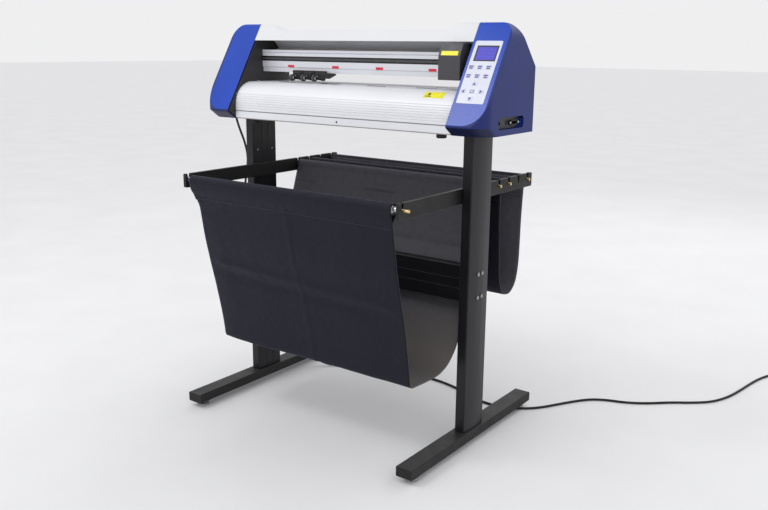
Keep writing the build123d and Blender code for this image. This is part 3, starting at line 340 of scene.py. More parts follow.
def rail_finish():
    """The rail: satin aluminium, with painted shade darkening its belt groove."""
    material, tree, shader, uneven = anodised("rail_satin", (0.76, 0.77, 0.82), 0.34, 0.25)
    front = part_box("rail_beam")[0].y
    deep = spread(tree, along(tree, (0, 1, 0)), 0, 1, front + 0.0006, front + 0.0030)
    groove_low, groove_high, soft = 0.9960, 1.0110, 0.0008
    height = along(tree, (0, 0, 1))
    above = spread(tree, height, 0, 1, groove_low, groove_low + soft)
    below = spread(tree, height, 1, 0, groove_high - soft, groove_high)
    # Painted shade inside the belt groove, mixed towards a dark grey.
    groove = calculate(tree, "MULTIPLY", deep, calculate(tree, "MULTIPLY", above, below))
    tree.links.new(mix(tree, groove, uneven, (0.105, 0.105, 0.115)), shader.inputs["Base Color"])
    return material


def moulded(name, colour, roughness, grain=900.0, edge=0.0006, coat=0.0):
    """Moulded plastic with a spark-eroded grain."""
    material, tree, shader = new_material(name, colour, roughness, Coat_Weight=coat)
    mottle(tree, shader, colour, 12.0, 0.07)
    vary_roughness(tree, shader, roughness - 0.06, roughness + 0.06, 40.0)
    bump(tree, shader, noise_at(tree, place_vector(tree), grain), 0.18, 0.0002, edge)
    return material


def rubber(name, colour, grain=500.0):
    """Dull rubber or soft vinyl."""
    material, tree, shader = new_material(name, colour, 0.6, Specular_IOR_Level=0.4)
    mottle(tree, shader, colour, 60.0, 0.2)
    vary_roughness(tree, shader, 0.5, 0.7, 30.0)
    bump(tree, shader, noise_at(tree, place_vector(tree), grain), 0.2, 0.0002, 0.0004)
    return material


def blue_cap():
    """Royal blue gloss on the front facet, bounded by a crisp line; elsewhere a satin navy that is painted
    shade, darker still underneath.
    """
    # navy is painted shade: the same blue made darker on every face but the front facet.
    bright, navy = (0.005, 0.056, 0.47), (0.008, 0.021, 0.150)
    material, tree, shader = new_material("cap_blue", bright, 0.2, Specular_IOR_Level=0.35)
    across = node_abs(tree, along(tree, (1, 0, 0)))
    up = along(tree, FACE_UP, FACE_ORIGIN)
    outer_edge, lower_edge, radius = 0.461, -0.067, 0.055  # of the facet's rounded outline
    past_side = calculate(tree, "SUBTRACT", across, outer_edge - radius)
    below = calculate(tree, "SUBTRACT", lower_edge + radius, up)
    past_side, below = [calculate(tree, "MAXIMUM", term, 0) for term in (past_side, below)]
    corner = hypotenuse(tree, past_side, below)
    inside = spread(tree, corner, 1, 0, radius - 0.0006, radius + 0.0006)
    geometry = node(tree, "NewGeometry")
    facing = node(tree, "VectorMath", {1: tuple(FACE_OUT)}, operation="DOT_PRODUCT")
    tree.links.new(geometry.outputs["Normal"], facing.inputs[0])
    front = spread(tree, facing.outputs["Value"], 0, 1, 0.55, 0.7)
    facet = calculate(tree, "MULTIPLY", inside, front)
    tint = spread(tree, noise_at(tree, place_vector(tree), 6.0), 0, 1)
    bright_tinted = mix(tree, tint, shade(bright, 0.9), shade(bright, 1.08))
    navy_tinted = mix(tree, tint, shade(navy, 0.85), shade(navy, 1.15))
    # Painted shade: faces that point down get darker still.
    underside = spread(tree, normal_height(tree), 1, 0, -0.45, -0.15)
    shaded_navy = mix(tree, underside, navy_tinted, shade(navy, 0.3))
    tree.links.new(mix(tree, facet, shaded_navy, bright_tinted), shader.inputs["Base Color"])
    tree.links.new(spread(tree, facet, 0.48, 0.22, 0, 1), shader.inputs["Roughness"])
    grain = calculate(tree, "MULTIPLY", noise_at(tree, place_vector(tree), 1100.0), 0.25)
    step = calculate(tree, "ADD", grain, calculate(tree, "MULTIPLY", facet, 2.0))
    bump(tree, shader, step, 0.5, 0.0003, 0.0012)
    return material


def cover_white():
    """Satin white paint with a whisper of orange peel."""
    white = (0.76, 0.77, 0.79)
    material, tree, shader = new_material("cover_white", white, 0.4)
    mottle(tree, shader, white, 4.0, 0.02)
    vary_roughness(tree, shader, 0.3, 0.42, 12.0)
    bump(tree, shader, noise_at(tree, place_vector(tree), 700.0), 0.08, 0.0002, 0.0012)
    return material


def facing_inward(tree, middle):
    """1 on the cloth's sides that face a basket's middle line and 0 on its outer sides."""
    geometry = node(tree, "NewGeometry")
    inward = node(tree, "VectorMath", {0: middle}, operation="SUBTRACT")
    flat = node(tree, "VectorMath", {1: (0, 1, 1)}, operation="MULTIPLY")
    facing = node(tree, "VectorMath", operation="DOT_PRODUCT")
    tree.links.new(geometry.outputs["Position"], inward.inputs[1])
    tree.links.new(inward.outputs["Vector"], flat.inputs[0])
    tree.links.new(flat.outputs["Vector"], facing.inputs[0])
    tree.links.new(geometry.outputs["Normal"], facing.inputs[1])
    return spread(tree, facing.outputs["Value"], 0, 1, -0.0005, 0.0005)


def woven_nylon(name, middle_y):
    """Black plain-weave nylon with a navy sheen; its coated inside is grey, with painted light low down."""
    material, tree, shader = new_material(
        name, (0.009, 0.0095, 0.014), 0.62, Sheen_Weight=0.1, Sheen_Roughness=0.45,
        Sheen_Tint=(0.45, 0.5, 0.9, 1), Specular_IOR_Level=0.22,
    )
    cloth = node(tree, "UVMap", uv_map="cloth")
    threads = []
    for direction in ("X", "Y"):
        wave_values = {"Scale": 210.0, "Distortion": 0.6, "Detail": 1.0}
        wave = node(tree, "TexWave", wave_values, bands_direction=direction)
        tree.links.new(cloth.outputs["UV"], wave.inputs["Vector"])
        threads.append(wave.outputs["Fac"])
    weave = calculate(tree, "MULTIPLY", *threads)
    slub = node(tree, "TexNoise", {"Scale": 60.0, "Detail": 4.0})
    tree.links.new(cloth.outputs["UV"], slub.inputs["Vector"])
    fade = spread(tree, slub.outputs["Fac"], 0, 1)
    faded_black = mix(tree, fade, (0.003, 0.0032, 0.0085), (0.006, 0.0062, 0.0135))
    faded_grey = mix(tree, fade, (0.064, 0.062, 0.071), (0.088, 0.085, 0.096))
    outside = mix(tree, weave, faded_black, (0.011, 0.011, 0.020))
    plain_lining = mix(tree, weave, faded_grey, (0.128, 0.124, 0.143))
    # Painted light: the inside is made lighter and warmer towards the bottom, where light from above falls.
    painted_light_low = calculate(tree, "MULTIPLY", spread(tree, along(tree, (0, 0, 1)), 1, 0, 0.24, 0.38), 0.8)
    inside = mix(tree, painted_light_low, plain_lining, (0.165, 0.150, 0.135))
    lining = facing_inward(tree, (0, middle_y, 0.62))
    tree.links.new(mix(tree, lining, outside, inside), shader.inputs["Base Color"])
    tree.links.new(spread(tree, slub.outputs["Fac"], 0.55, 0.72), shader.inputs["Roughness"])
    bump(tree, shader, weave, 0.35, 0.0004)
    return material


def overlay_film():
    """Printed polyester: a cool white with a faint satin grain."""
    material, tree, shader = new_material("overlay_film", FILM_WHITE, 0.34)
    mottle(tree, shader, FILM_WHITE, 18.0, 0.025)
    vary_roughness(tree, shader, 0.26, 0.4, 30.0)
    bump(tree, shader, noise_at(tree, place_vector(tree), 1600.0), 0.08, 0.0001, 0.0003)
    return material


def screen_face():
    """A violet-blue display with faint empty character cells, in a dark bezel."""
    lit = (0.060, 0.052, 0.46)
    material, tree, shader = new_material("screen_face", lit, 0.3, Specular_IOR_Level=0.3)
    centre_x, centre_up, half_wide, half_tall = 0.4145, 0.126, 0.0256, 0.0172
    columns_per_metre, rows_per_metre = 330.0, 112.0
    across = calculate(tree, "SUBTRACT", along(tree, (1, 0, 0)), centre_x)
    up = calculate(tree, "SUBTRACT", along(tree, FACE_UP, FACE_ORIGIN), centre_up)
    over_side = calculate(tree, "SUBTRACT", node_abs(tree, across), half_wide)
    over_end = calculate(tree, "SUBTRACT", node_abs(tree, up), half_tall)
    bezel = spread(tree, calculate(tree, "MAXIMUM", over_side, over_end), 0, 1, -0.0003, 0.0003)
    columns = calculate(tree, "FRACT", calculate(tree, "MULTIPLY", across, columns_per_metre), 0)
    rows = calculate(tree, "FRACT", calculate(tree, "MULTIPLY", up, rows_per_metre), 0)
    cell = calculate(
        tree, "MULTIPLY", spread(tree, columns, 0, 1, 0.12, 0.2), spread(tree, rows, 0, 1, 0.16, 0.24)
    )
    glow = mix(tree, cell, shade(lit, 1.15), shade(lit, 0.9))
    colour = mix(tree, bezel, glow, (0.02, 0.017, 0.03))
    tree.links.new(colour, shader.inputs["Base Color"])
    tree.links.new(colour, shader.inputs["Emission Color"])
    shader.inputs["Emission Strength"].default_value = 0.3
    bump(tree, shader, noise_at(tree, place_vector(tree), 300.0), 0.03, 0.0001, 0.0003)
    return material


def gritted_steel():
    """The feed roller's knurled zones: sparkling grit on dark steel."""
    material, tree, shader = new_material("grit_steel", (0.35, 0.35, 0.36), 0.5, Metallic=1.0)
    grit = noise_at(tree, place_vector(tree), 1500.0, 2)
    sparkle = mix(tree, spread(tree, grit, 0, 1), (0.2, 0.2, 0.21), (0.5, 0.5, 0.5))
    tree.links.new(sparkle, shader.inputs["Base Color"])
    tree.links.new(spread(tree, grit, 0.4, 0.65), shader.inputs["Roughness"])
    bump(tree, shader, grit, 0.6, 0.0004, 0.0003)
    return material


def circuit_board():
    """Green laminate with darker copper pours."""
    material, tree, shader = new_material("circuit_board", (0.02, 0.16, 0.06), 0.4)
    texture = node(tree, "TexVoronoi", {"Scale": 160.0}, feature="DISTANCE_TO_EDGE")
    tree.links.new(place_vector(tree), texture.inputs["Vector"])
    tracks = spread(tree, texture.outputs["Distance"], 1, 0, 0.02, 0.05)
    tree.links.new(mix(tree, tracks, (0.015, 0.13, 0.045), (0.05, 0.26, 0.1)), shader.inputs["Base Color"])
    vary_roughness(tree, shader, 0.32, 0.48, 60.0)
    bump(tree, shader, tracks, 0.2, 0.0001)
    return material


def printed(name, colour):
    """A thin print or label, slightly uneven."""
    material, tree, shader = new_material(name, colour, 0.4)
    mottle(tree, shader, colour, 90.0, 0.06)
    bump(tree, shader, noise_at(tree, place_vector(tree), 900.0), 0.08, 0.0001)
    return material


def thread():
    """Sewing thread, twisted."""
    material, tree, shader = new_material("thread", (0.02, 0.02, 0.026), 0.7, Sheen_Weight=0.3)
    mottle(tree, shader, (0.03, 0.03, 0.04), 800.0, 0.3)
    bump(tree, shader, noise_at(tree, place_vector(tree, (1, 3, 3)), 2500.0), 0.5, 0.0002)
    return material


def slot_materials():
    """One finished material for each material slot of the record."""
    return {
        "black_steel": powder_coat("stand_black", (0.010, 0.0098, 0.0108)),
        "black_extrusion": drawn_black("extrusion_black", (0.007, 0.006, 0.009)),
        "foot_steel": brushed("foot_zinc", (0.42, 0.42, 0.43), 0.38, (200, 200, 20)),
        "bolt_steel": brushed("bolt_zinc", (0.30, 0.30, 0.31), 0.34, (400, 60, 60)),
        "rod_steel": brushed("rod_bright", (0.60, 0.60, 0.62), 0.26),
        "pin_brass": brushed("pin_brass", (0.72, 0.55, 0.27), 0.3, (500, 60, 60)),
        "grey_sheet": powder_coat("grey_brown_paint", (0.46, 0.43, 0.425), 0.42, 0.55),
        "foot_rubber": rubber("foot_rubber", (0.012, 0.012, 0.012)),
        "white_aluminium": nose_finish(),
        "blue_plastic": blue_cap(),
        "charcoal_plastic": moulded("panel_charcoal", (0.028, 0.026, 0.028), 0.5),
        "white_plastic": cover_white(),
        "rail_aluminium": rail_finish(),
        "overlay_film": overlay_film(),
        "screen": screen_face(),
        "port_plastic": moulded("port_charcoal", (0.03, 0.03, 0.032), 0.42),
        "rocker_plastic": moulded("rocker_black", (0.012, 0.012, 0.012), 0.25, 300.0, 0.0005, 0.3),
        "board": circuit_board(),
        "cage_steel": brushed("cage_zinc", (0.55, 0.55, 0.56), 0.35, (40, 400, 40)),
        "motor_metal": powder_coat("motor_black", (0.015, 0.015, 0.016)),
        "bearing_steel": brushed("bearing_ground", (0.6, 0.6, 0.61), 0.22, (900, 40, 40)),
        "grit_steel": gritted_steel(),
        "belt_rubber": rubber("belt_rubber", (0.070, 0.070, 0.076), 900.0),
        "pulley_aluminium": brushed("pulley_turned", (0.66, 0.66, 0.68), 0.28, (60, 60, 900)),
        "carriage_aluminium": brushed("carriage_milled", (0.5, 0.5, 0.52), 0.35, (40, 400, 400)),
        "carriage_plastic": moulded("carriage_dark", (0.052, 0.050, 0.060), 0.42),
        "holder_brass": brushed("holder_brass", (0.7, 0.55, 0.3), 0.28, (60, 60, 900)),
        "cord_pvc": rubber("cord_black", (0.008, 0.008, 0.008), 350.0),
        "cord_moulding": moulded("plug_black", (0.012, 0.012, 0.012), 0.45, 700.0),
        "pinch_plastic": moulded("pinch_black", (0.012, 0.012, 0.013), 0.4),
        "pinch_steel": powder_coat("pinch_steel", (0.02, 0.02, 0.021), 0.3, 0.42),
        "wheel_rubber": rubber("wheel_rubber", (0.06, 0.06, 0.062), 800.0),
        "key_film": printed("key_film", FILM_WHITE),
        "basket_cloth": woven_nylon("sling_nylon", -0.09),
    }


def dress_nodes(finishes):
    """Every CAD node gets its slot's finished material."""
    for subpart in frame["record"]["subparts"]:
        data = frame["nodes"][subpart["node"]].data
        data.materials.clear()
        data.materials.append(finishes[subpart["material_slot"]])


# ---- mesh helpers -------------------------------------------------------------------------
def plain_mesh(name, corners, faces, material, smooth=True):
    """An object from corners and faces."""
    data = bpy.data.meshes.new(name)
    data.from_pydata([tuple(corner) for corner in corners], [], faces)
    data.materials.append(material)
    for polygon in data.polygons:
        polygon.use_smooth = smooth
    new = bpy.data.objects.new(name, data)
    bpy.context.scene.collection.objects.link(new)
    return new


def piece(name, corners, faces, material, body, smooth=True):
    """A piece of the object that rides on a body."""
    new = plain_mesh(name, corners, faces, material, smooth)
    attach(new, body)
    return new


def grid_faces(rows, columns, closed=False):
    """Quads of a grid of rows x columns corners; closed joins the last column to the first."""
    faces = []
    for row in range(rows - 1):
        for column in range(columns if closed else columns - 1):
            following = (column + 1) % columns
            faces.append((
                row * columns + column, row * columns + following,
                (row + 1) * columns + following, (row + 1) * columns + column,
            ))
    return faces


def catmull(points, steps):
    """A smooth line through the points, as (y, z) vectors."""
    line = []
    padded = [points[0] * 2 - points[1], *points, points[-1] * 2 - points[-2]]
    for a, b, c, d in zip(padded, padded[1:], padded[2:], padded[3:]):
        for step in range(steps):
            t = step / steps
            line.append(0.5 * (
                2 * b + (c - a) * t + (2 * a - 5 * b + 4 * c - d) * t**2 + (3 * b - a - 3 * c + d) * t**3
            ))
    line.append(points[-1].copy())
    return line


# ---- mains cord ---------------------------------------------------------------------------
CORD_ROUTE_MM = (
    (-508, 70, 866), (-526, 70, 866), (-542.5, 70, 858.5), (-554.5, 69.5, 845), (-560, 69, 828),
    (-558.5, 69, 810), (-545, 69, 779), (-525, 69, 741), (-512, 69, 700), (-516, 69, 655),
    (-529, 70, 610), (-536, 74, 555), (-530, 81, 495), (-513, 89, 430), (-491, 98, 362),
    (-468, 107, 296), (-446, 115, 232), (-426, 122, 172), (-409, 128, 122), (-392, 135, 84),
    (-362, 145, 60), (-336, 156, 48), (-314, 168, 24), (-292, 182, 8), (-262, 199, 3.6),
    (-215, 227, 3.6), (-150, 258, 3.6), (-75, 285, 3.6), (5, 299, 3.6), (85, 298, 3.6),
    (165, 282, 3.6), (230, 254, 3.6), (284, 237, 3.6), (334, 237, 3.6), (385, 254, 3.6),
    (434, 298, 3.6), (470, 360, 3.6), (500, 412, 3.6), (532, 456, 3.6), (575, 482, 3.6),
    (630, 498, 3.6), (684, 534, 3.6), (734, 582, 3.6), (788, 620, 3.6), (834, 664, 3.6),
    (862, 729, 3.6), (877, 804, 3.6), (888, 879, 3.6), (901, 949, 3.6), (925, 1014, 3.6),
    (948, 1056, 3.6), (955, 1078, 3.6),
)
COIL_CENTRE = Vector((1.000, 1.094, 0))
COIL_OUTER, COIL_INNER = 0.0445, 0.0370  # radii of the turns that lie side by side
COIL_LOW, COIL_HIGH = 0.0036, 0.0110


def coil_points(turns=3.25, per_turn=16):
    """The coil, clockwise from its west side: two turns on the floor, the rest on top of them."""
    points = []
    for index in range(1, int(turns * per_turn) + 1):
        done = index / per_turn
        angle = pi - 2 * pi * done
        inward = min(max((done - 0.6) / 0.38, 0), 1) - min(max((done - 2.2) / 0.4, 0), 1)
        radius = COIL_OUTER + (COIL_INNER - COIL_OUTER) * inward
        lift = min(max((done - 1.6) / 0.3, 0), 1)
        height = COIL_LOW + (COIL_HIGH - COIL_LOW) * lift
        points.append(COIL_CENTRE + Vector((radius * cos(angle), radius * sin(angle), height)))
    return points


def add_cord(finishes):
    """The mains lead: one free spline from its connector to the coil and into the plug."""
    route = [Vector(point) * MM for point in CORD_ROUTE_MM] + coil_points()
    last = route[-1]
    steps = ((0.012, 0, -0.0003), (0.024, -0.0002, -0.0008), (0.036, -0.0005, -0.0009))
    route += [last + Vector(step) for step in steps]
    data = bpy.data.curves.new("mains_lead", "CURVE")
    data.dimensions = "3D"
    data.bevel_depth = CORD_DIAMETER / 2
    data.bevel_resolution = 5
    data.resolution_u = 8
    data.use_fill_caps = True
    spline = data.splines.new("NURBS")
    spline.points.add(len(route) - 1)
    for point, place in zip(spline.points, route):
        point.co = (*place, 1)
    spline.order_u = 3
    spline.use_endpoint_u = True
    data.materials.append(finishes["cord_pvc"])
    cord = bpy.data.objects.new("mains_lead", data)
    bpy.context.scene.collection.objects.link(cord)
    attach(cord, ROOT)
    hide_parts("power_cord", "cord_coil")
    ties = [coil_tie(f"coil_tie_{tag}", radians(turn), finishes) for tag, turn in ((895, -60), (244, 140))]
    relief = strain_relief(finishes)


def coil_tie(name, angle, finishes):
    """A thin strap wound round the coil's turns."""
    middle = (COIL_OUTER + COIL_INNER) / 2
    outward = Vector((cos(angle), sin(angle), 0))
    sideways = Vector((-sin(angle), cos(angle), 0))
    centre = COIL_CENTRE + outward * middle + Vector((0, 0, (COIL_LOW + COIL_HIGH) / 2))
    corners = []
    around = 28
    for offset, swell in ((-0.0035, 0.0), (-0.003, 0.0007), (0.003, 0.0007), (0.0035, 0.0)):
        for index in range(around):
            turn = 2 * pi * index / around
            wide = 0.0076 + swell
            tall = 0.0070 + swell
            squarish = 1 / (abs(cos(turn)) ** 4 + abs(sin(turn)) ** 4) ** 0.25
            place = centre + outward * wide * cos(turn) * squarish + sideways * offset
            place += Vector((0, 0, max(tall * sin(turn) * squarish, 0.0003 - centre.z)))
            corners.append(place)
    faces = grid_faces(4, around, closed=True)
    return piece(name, corners, faces, finishes["cord_moulding"], ROOT)


def strain_relief(finishes):
    """Ribs moulded round the taper where the lead leaves its connector."""
    start = Vector((-0.4845, 0.070, 0.866))  # the first rib's middle, next to the connector's grip
    corners, faces = [], []
    around = 20
    for rib in range(6):
        base = len(corners)
        x = start.x - 0.0038 * rib
        radius = 0.0076 - 0.0005 * rib
        for offset, swell in ((0.0009, -0.0012), (0.0005, 0.0), (-0.0005, 0.0), (-0.0009, -0.0012)):
            for index in range(around):
                turn = 2 * pi * index / around
                corners.append(Vector((
                    x + offset, start.y + (radius + swell) * cos(turn), start.z + (radius + swell) * sin(turn)
                )))
        faces += [tuple(base + corner for corner in face) for face in grid_faces(4, around, closed=True)]
    return piece("strain_relief", corners, faces, finishes["cord_moulding"], ROOT)


# ---- baskets ------------------------------------------------------------------------------
FRONT_SLING = (
    (-0.3254, 0.678), (-0.3205, 0.655), (-0.308, 0.618), (-0.291, 0.520), (-0.2745, 0.450),
    (-0.2580, 0.380), (-0.2425, 0.290), (-0.2355, 0.240), (-0.2330, 0.2230), (-0.2285, 0.2150),
    (-0.2190, 0.2115), (-0.190, 0.2105), (-0.156, 0.210), (-0.120, 0.211), (-0.092, 0.2165), (-0.060, 0.233),
    (-0.028, 0.268), (-0.002, 0.328), (0.0155, 0.394), (0.030, 0.462), (0.0445, 0.4885),
    (0.0655, 0.5090), (0.0735, 0.530), (0.0955, 0.592), (0.1238, 0.677),
)
REAR_POCKET = (
    (0.1772, 0.678), (0.1765, 0.640), (0.1775, 0.590), (0.1825, 0.510), (0.187, 0.435),
    (0.195, 0.388), (0.212, 0.361), (0.231, 0.3545), (0.252, 0.3535), (0.272, 0.364),
    (0.289, 0.386), (0.300, 0.432), (0.303, 0.500), (0.3045, 0.560), (0.3090, 0.625), (0.3136, 0.678),
)
HEM_DROP = 0.050  # how far the tunnel's inner layer hangs below a rod
SEAM_DROP = 0.046


def tunnel(rod_y, hang):
    """From the tunnel's seam up, over the rod and down to where the cloth hangs free."""
    side = 1 if hang[0].x < rod_y else -1
    reach = ROD_RADIUS + 0.0003 + CLOTH / 2
    touch = atan2(hang[0].y - ROD_Z, hang[0].x - rod_y)
    over = []
    for step in range(21):
        angle = touch - side * 1.08 * pi * (1 - step / 20)
        over.append(Vector((rod_y + reach * cos(angle), ROD_Z + reach * sin(angle))))
    inner = []
    for step in range(1, 11):
        share = step / 10
        level = over[0].y - HEM_DROP * share
        outer = next(point for point in hang if point.y <= level)
        gap = side * CLOTH * 1.1
        inner.append(Vector((over[0].x + (outer.x + gap - over[0].x) * ease(share, 0, 0.8), level)))
    return inner[::-1] + over


def sling_line(points, first_rod, last_rod):
    """The cloth's whole section: seam, tunnel, free hang, tunnel, seam."""
    hang = catmull([Vector(point) for point in points], 12)
    return tunnel(first_rod, hang) + hang[1:-1] + tunnel(last_rod, hang[::-1])[::-1]


def cloth_grid(name, line, shape, material, columns=96):
    """A hung sheet swept across X along its section; shape(x, point) gives how far it bulges."""
    lengths = [0.0]
    for before, after in zip(line, line[1:]):
        lengths.append(lengths[-1] + (after - before).length)
    corners, uvs = [], []
    for row, point in enumerate(line):
        before = line[max(row - 1, 0)]
        after = line[min(row + 1, len(line) - 1)]
        run = (after - before).normalized()
        out = Vector((run.y, -run.x))
        for column in range(columns + 1):
            x = CLOTH_HALF * (2 * column / columns - 1)
            push = shape(x, point) * hung_free(point)
            corners.append((drawn_in(x, point), point.x + out.x * push, point.y + out.y * push))
            uvs.append((x, lengths[row]))
    faces = grid_faces(len(line), columns + 1)
    sheet = piece(name, corners, faces, material, ROOT)
    layer = sheet.data.uv_layers.new(name="cloth")
    for loop in sheet.data.loops:
        layer.data[loop.index].uv = uvs[loop.vertex_index]
    thick = sheet.modifiers.new("thickness", "SOLIDIFY")
    thick.thickness = CLOTH
    thick.offset = 0
    return sheet, lengths[-1]


def ease(value, low, high):
    """0 below low, 1 above high, smooth between."""
    share = min(max((value - low) / (high - low), 0), 1)
    return share * share * (3 - 2 * share)


def ridge(distance, width):
    """A soft bump of height 1 and the given half width."""
    return 1 / (1 + (distance / width) ** 2) ** 2


def hung_free(point):
    """0 at the rods, where the cloth is held, and 1 well below them."""
    return 1 - ease(point.y, 0.600, 0.668)


def drawn_in(x, point):
    """The cloth's side edges pull in a little towards the front, most of all at the lower left."""
    forward = 1 - ease(point.x, -0.34, 0.10)
    narrower = 0.006 + 0.004 * hung_free(point)
    if x < 0:
        narrower += 0.010 * hung_free(point) + 0.012 * ease(0.45 - point.y, 0, 0.22)
    return x * (1 - forward * narrower / CLOTH_HALF)


def front_shape(x, point):
    """Folds of the deep sling: a packing crease, a slanting fold, soft billows and ripples."""
    push = 0.0025 * noise.noise(Vector((x * 4.2, point.x * 3.0, point.y * 2.4)))  # billows
    push += 0.0010 * noise.noise(Vector((x * 17.0, point.x * 6.0 + 4, point.y * 6.0)))  # ripples
    if point.x < -0.2:  # the front wall
        fold_z = 0.440 - 0.013 * x / CLOTH_HALF
        fold = 0.0045 * ridge(point.y - fold_z, 0.016) - 0.0040 * ridge(point.y - fold_z + 0.030, 0.022)
        push += fold * ease(CLOTH_HALF - abs(x), -0.01, 0.09)
        push += 0.0016 * ridge(x - 0.004 - 0.05 * (0.6 - point.y), 0.006)
        push -= 0.0028 * ridge(x + CLOTH_HALF, 0.05)
        push += 0.0030 * cos(pi * x / (2 * CLOTH_HALF)) * ridge(point.y - 0.52, 0.12)
    else:
        push += 0.0022 * sin(x * 23 + 3 * point.y) * ease(point.x, -0.05, 0.05)
        push += 0.0024 * ridge(x + 0.09 + 0.12 * point.y, 0.02) - 0.002 * ridge(x - 0.18, 0.03)
    return push


def rear_shape(x, point):
    """Folds of the narrow pocket."""
    push = 0.0022 * noise.noise(Vector((x * 5.0 + 9, point.x * 3.0, point.y * 2.6)))
    push += 0.0009 * noise.noise(Vector((x * 19.0, point.x * 5.0, point.y * 7.0)))
    push += 0.0022 * sin(x * 17 + 1.0) * ridge(point.y - 0.47, 0.12)
    return push + 0.0024 * ridge(x - 0.05, 0.012) * ease(point.x, 0.24, 0.28)


def stitch_row(name, places, direction, finishes, length=0.0042, radius=0.00035):
    """A row of sewing stitches, one at each place."""
    corners, faces = [], []
    around = 6
    for place in places:
        base = len(corners)
        side = direction.orthogonal().normalized()
        other = direction.cross(side)
        for share, size in ((-0.5, 0.35), (-0.35, 1.0), (0.35, 1.0), (0.5, 0.35)):
            for index in range(around):
                turn = 2 * pi * index / around
                spoke = side * cos(turn) + other * sin(turn)
                corners.append(place + direction * share * length + spoke * radius * size)
        faces += [tuple(base + corner for corner in face) for face in grid_faces(4, around, closed=True)]
        faces += [tuple(base + index for index in range(around))]
        faces += [tuple(base + 3 * around + index for index in range(around))]
    return piece(name, corners, faces, finishes["thread"], ROOT)


def seam(name, hang, rod_y, shape, finishes):
    """The tunnel's row of stitches, on the cloth's outer side below a rod."""
    side = -1 if hang[0].x < rod_y else 1
    near = next(point for point in hang if point.y <= ROD_Z - SEAM_DROP)
    lift = side * (CLOTH / 2 + 0.0002)
    places = []
    count = 136
    for number in range(count):
        x = (CLOTH_HALF - 0.006) * (2 * number / (count - 1) - 1)
        push = shape(x, near) * hung_free(near)
        places.append(Vector((drawn_in(x, near), near.x + side * push + lift, near.y)))
    return stitch_row(name, places, Vector((1, 0, 0)), finishes)


def add_basket(name, node_name, points, rods, shape, material, finishes):
    """One sewn basket with its seams, as a hung sheet in place of its CAD node."""
    line = sling_line(points, *rods)
    sheet, length = cloth_grid(name, line, shape, material)
    hang = catmull([Vector(point) for point in points], 12)
    seams = [
        seam(f"{name}_front_seam", hang, rods[0], shape, finishes),
        seam(f"{name}_back_seam", hang[::-1], rods[1], shape, finishes),
    ]
    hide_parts(node_name)


# ---- labels, glyphs and small trim --------------------------------------------------------
def on_face(x, up, out):
    """A point on the leaning front face."""
    return FACE_ORIGIN + Vector((x, 0, 0)) + FACE_UP * up + FACE_OUT * out


def face_print(name, shapes, out, material, body):
    """Thin printed shapes on the leaning face, each an outline of (x, up) points."""
    corners, faces = [], []
    for shape in shapes:
        base = len(corners)
        count = len(shape)
        corners += [on_face(x, up, out) for x, up in shape]
        corners += [on_face(x, up, out + 0.00012) for x, up in shape]
        faces.append(tuple(base + index for index in range(count))[::-1])
        faces.append(tuple(base + count + index for index in range(count)))
        for index in range(count):
            following = (index + 1) % count
            faces.append((base + index, base + following, base + count + following, base + count + index))
    return piece(name, corners, faces, material, body, smooth=False)


def bar(x, up, wide, tall):
    """A rectangle round a point."""
    return [
        (x - wide / 2, up - tall / 2), (x + wide / 2, up - tall / 2),
        (x + wide / 2, up + tall / 2), (x - wide / 2, up + tall / 2),
    ]


def arrow(x, up, turn, size=0.0056):
    """A triangle that points to the side given by its turn from up."""
    return [
        (x + size * cos(turn + pi / 2 + step), up + size * sin(turn + pi / 2 + step))
        for step in (0, 2 * pi / 3, 4 * pi / 3)
    ]


def key_middle(name):
    """A key's place on the leaning face."""
    low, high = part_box(name)
    middle = (low + high) / 2 - FACE_ORIGIN
    return middle.x, middle.dot(FACE_UP)


def add_key_symbols():
    """Plain symbols on the keys: arrows, an open square and pairs of short bars."""
    ink = printed("key_ink", (0.13, 0.11, 0.36))
    turns = {"key_up": 0, "key_left": pi / 2, "key_down": pi, "key_right": -pi / 2}
    for name in frame["nodes"]:
        if not name.startswith("key_"):
            continue
        x, up = key_middle(name)
        if name in turns:
            shapes = [arrow(x, up, turns[name])]
        elif name == "key_enter":
            shapes = [
                bar(x, up + 0.0032, 0.0102, 0.0016), bar(x, up - 0.0032, 0.0102, 0.0016),
                bar(x - 0.0043, up, 0.0016, 0.0048), bar(x + 0.0043, up, 0.0016, 0.0048),
            ]
        else:
            shapes = [bar(x, up + step, wide, 0.0038) for step, wide in ((0.0027, 0.0116), (-0.0023, 0.0098))]
        face_print(f"symbol_{name}", shapes, 0.00131, ink, name)


def curved_label(name, x0, x1, low, high, radius, material):
    """A thin label that follows the nose, between two angles above its centre line."""
    steps = 10
    arm = radius + 0.0003
    corners = []
    for row in range(steps + 1):
        angle = radians(low + (high - low) * row / steps)
        for x in (x0, x1):
            corners.append(NOSE_CENTRE + Vector((x, -arm * cos(angle), arm * sin(angle))))
    return piece(name, corners, grid_faces(steps + 1, 2), material, ROOT)


def flat_patch(name, corner, across, upward, out, material, body):
    """A thin flat label: one corner, its two edges and the way it faces."""
    lift = out.normalized() * 0.0002
    base = [corner, corner + across, corner + across + upward, corner + upward]
    corners = base + [point + lift for point in base]
    faces = [(4, 5, 6, 7), (0, 1, 5, 4), (1, 2, 6, 5), (2, 3, 7, 6), (3, 0, 4, 7)]
    return piece(name, corners, faces, material, body, smooth=False)


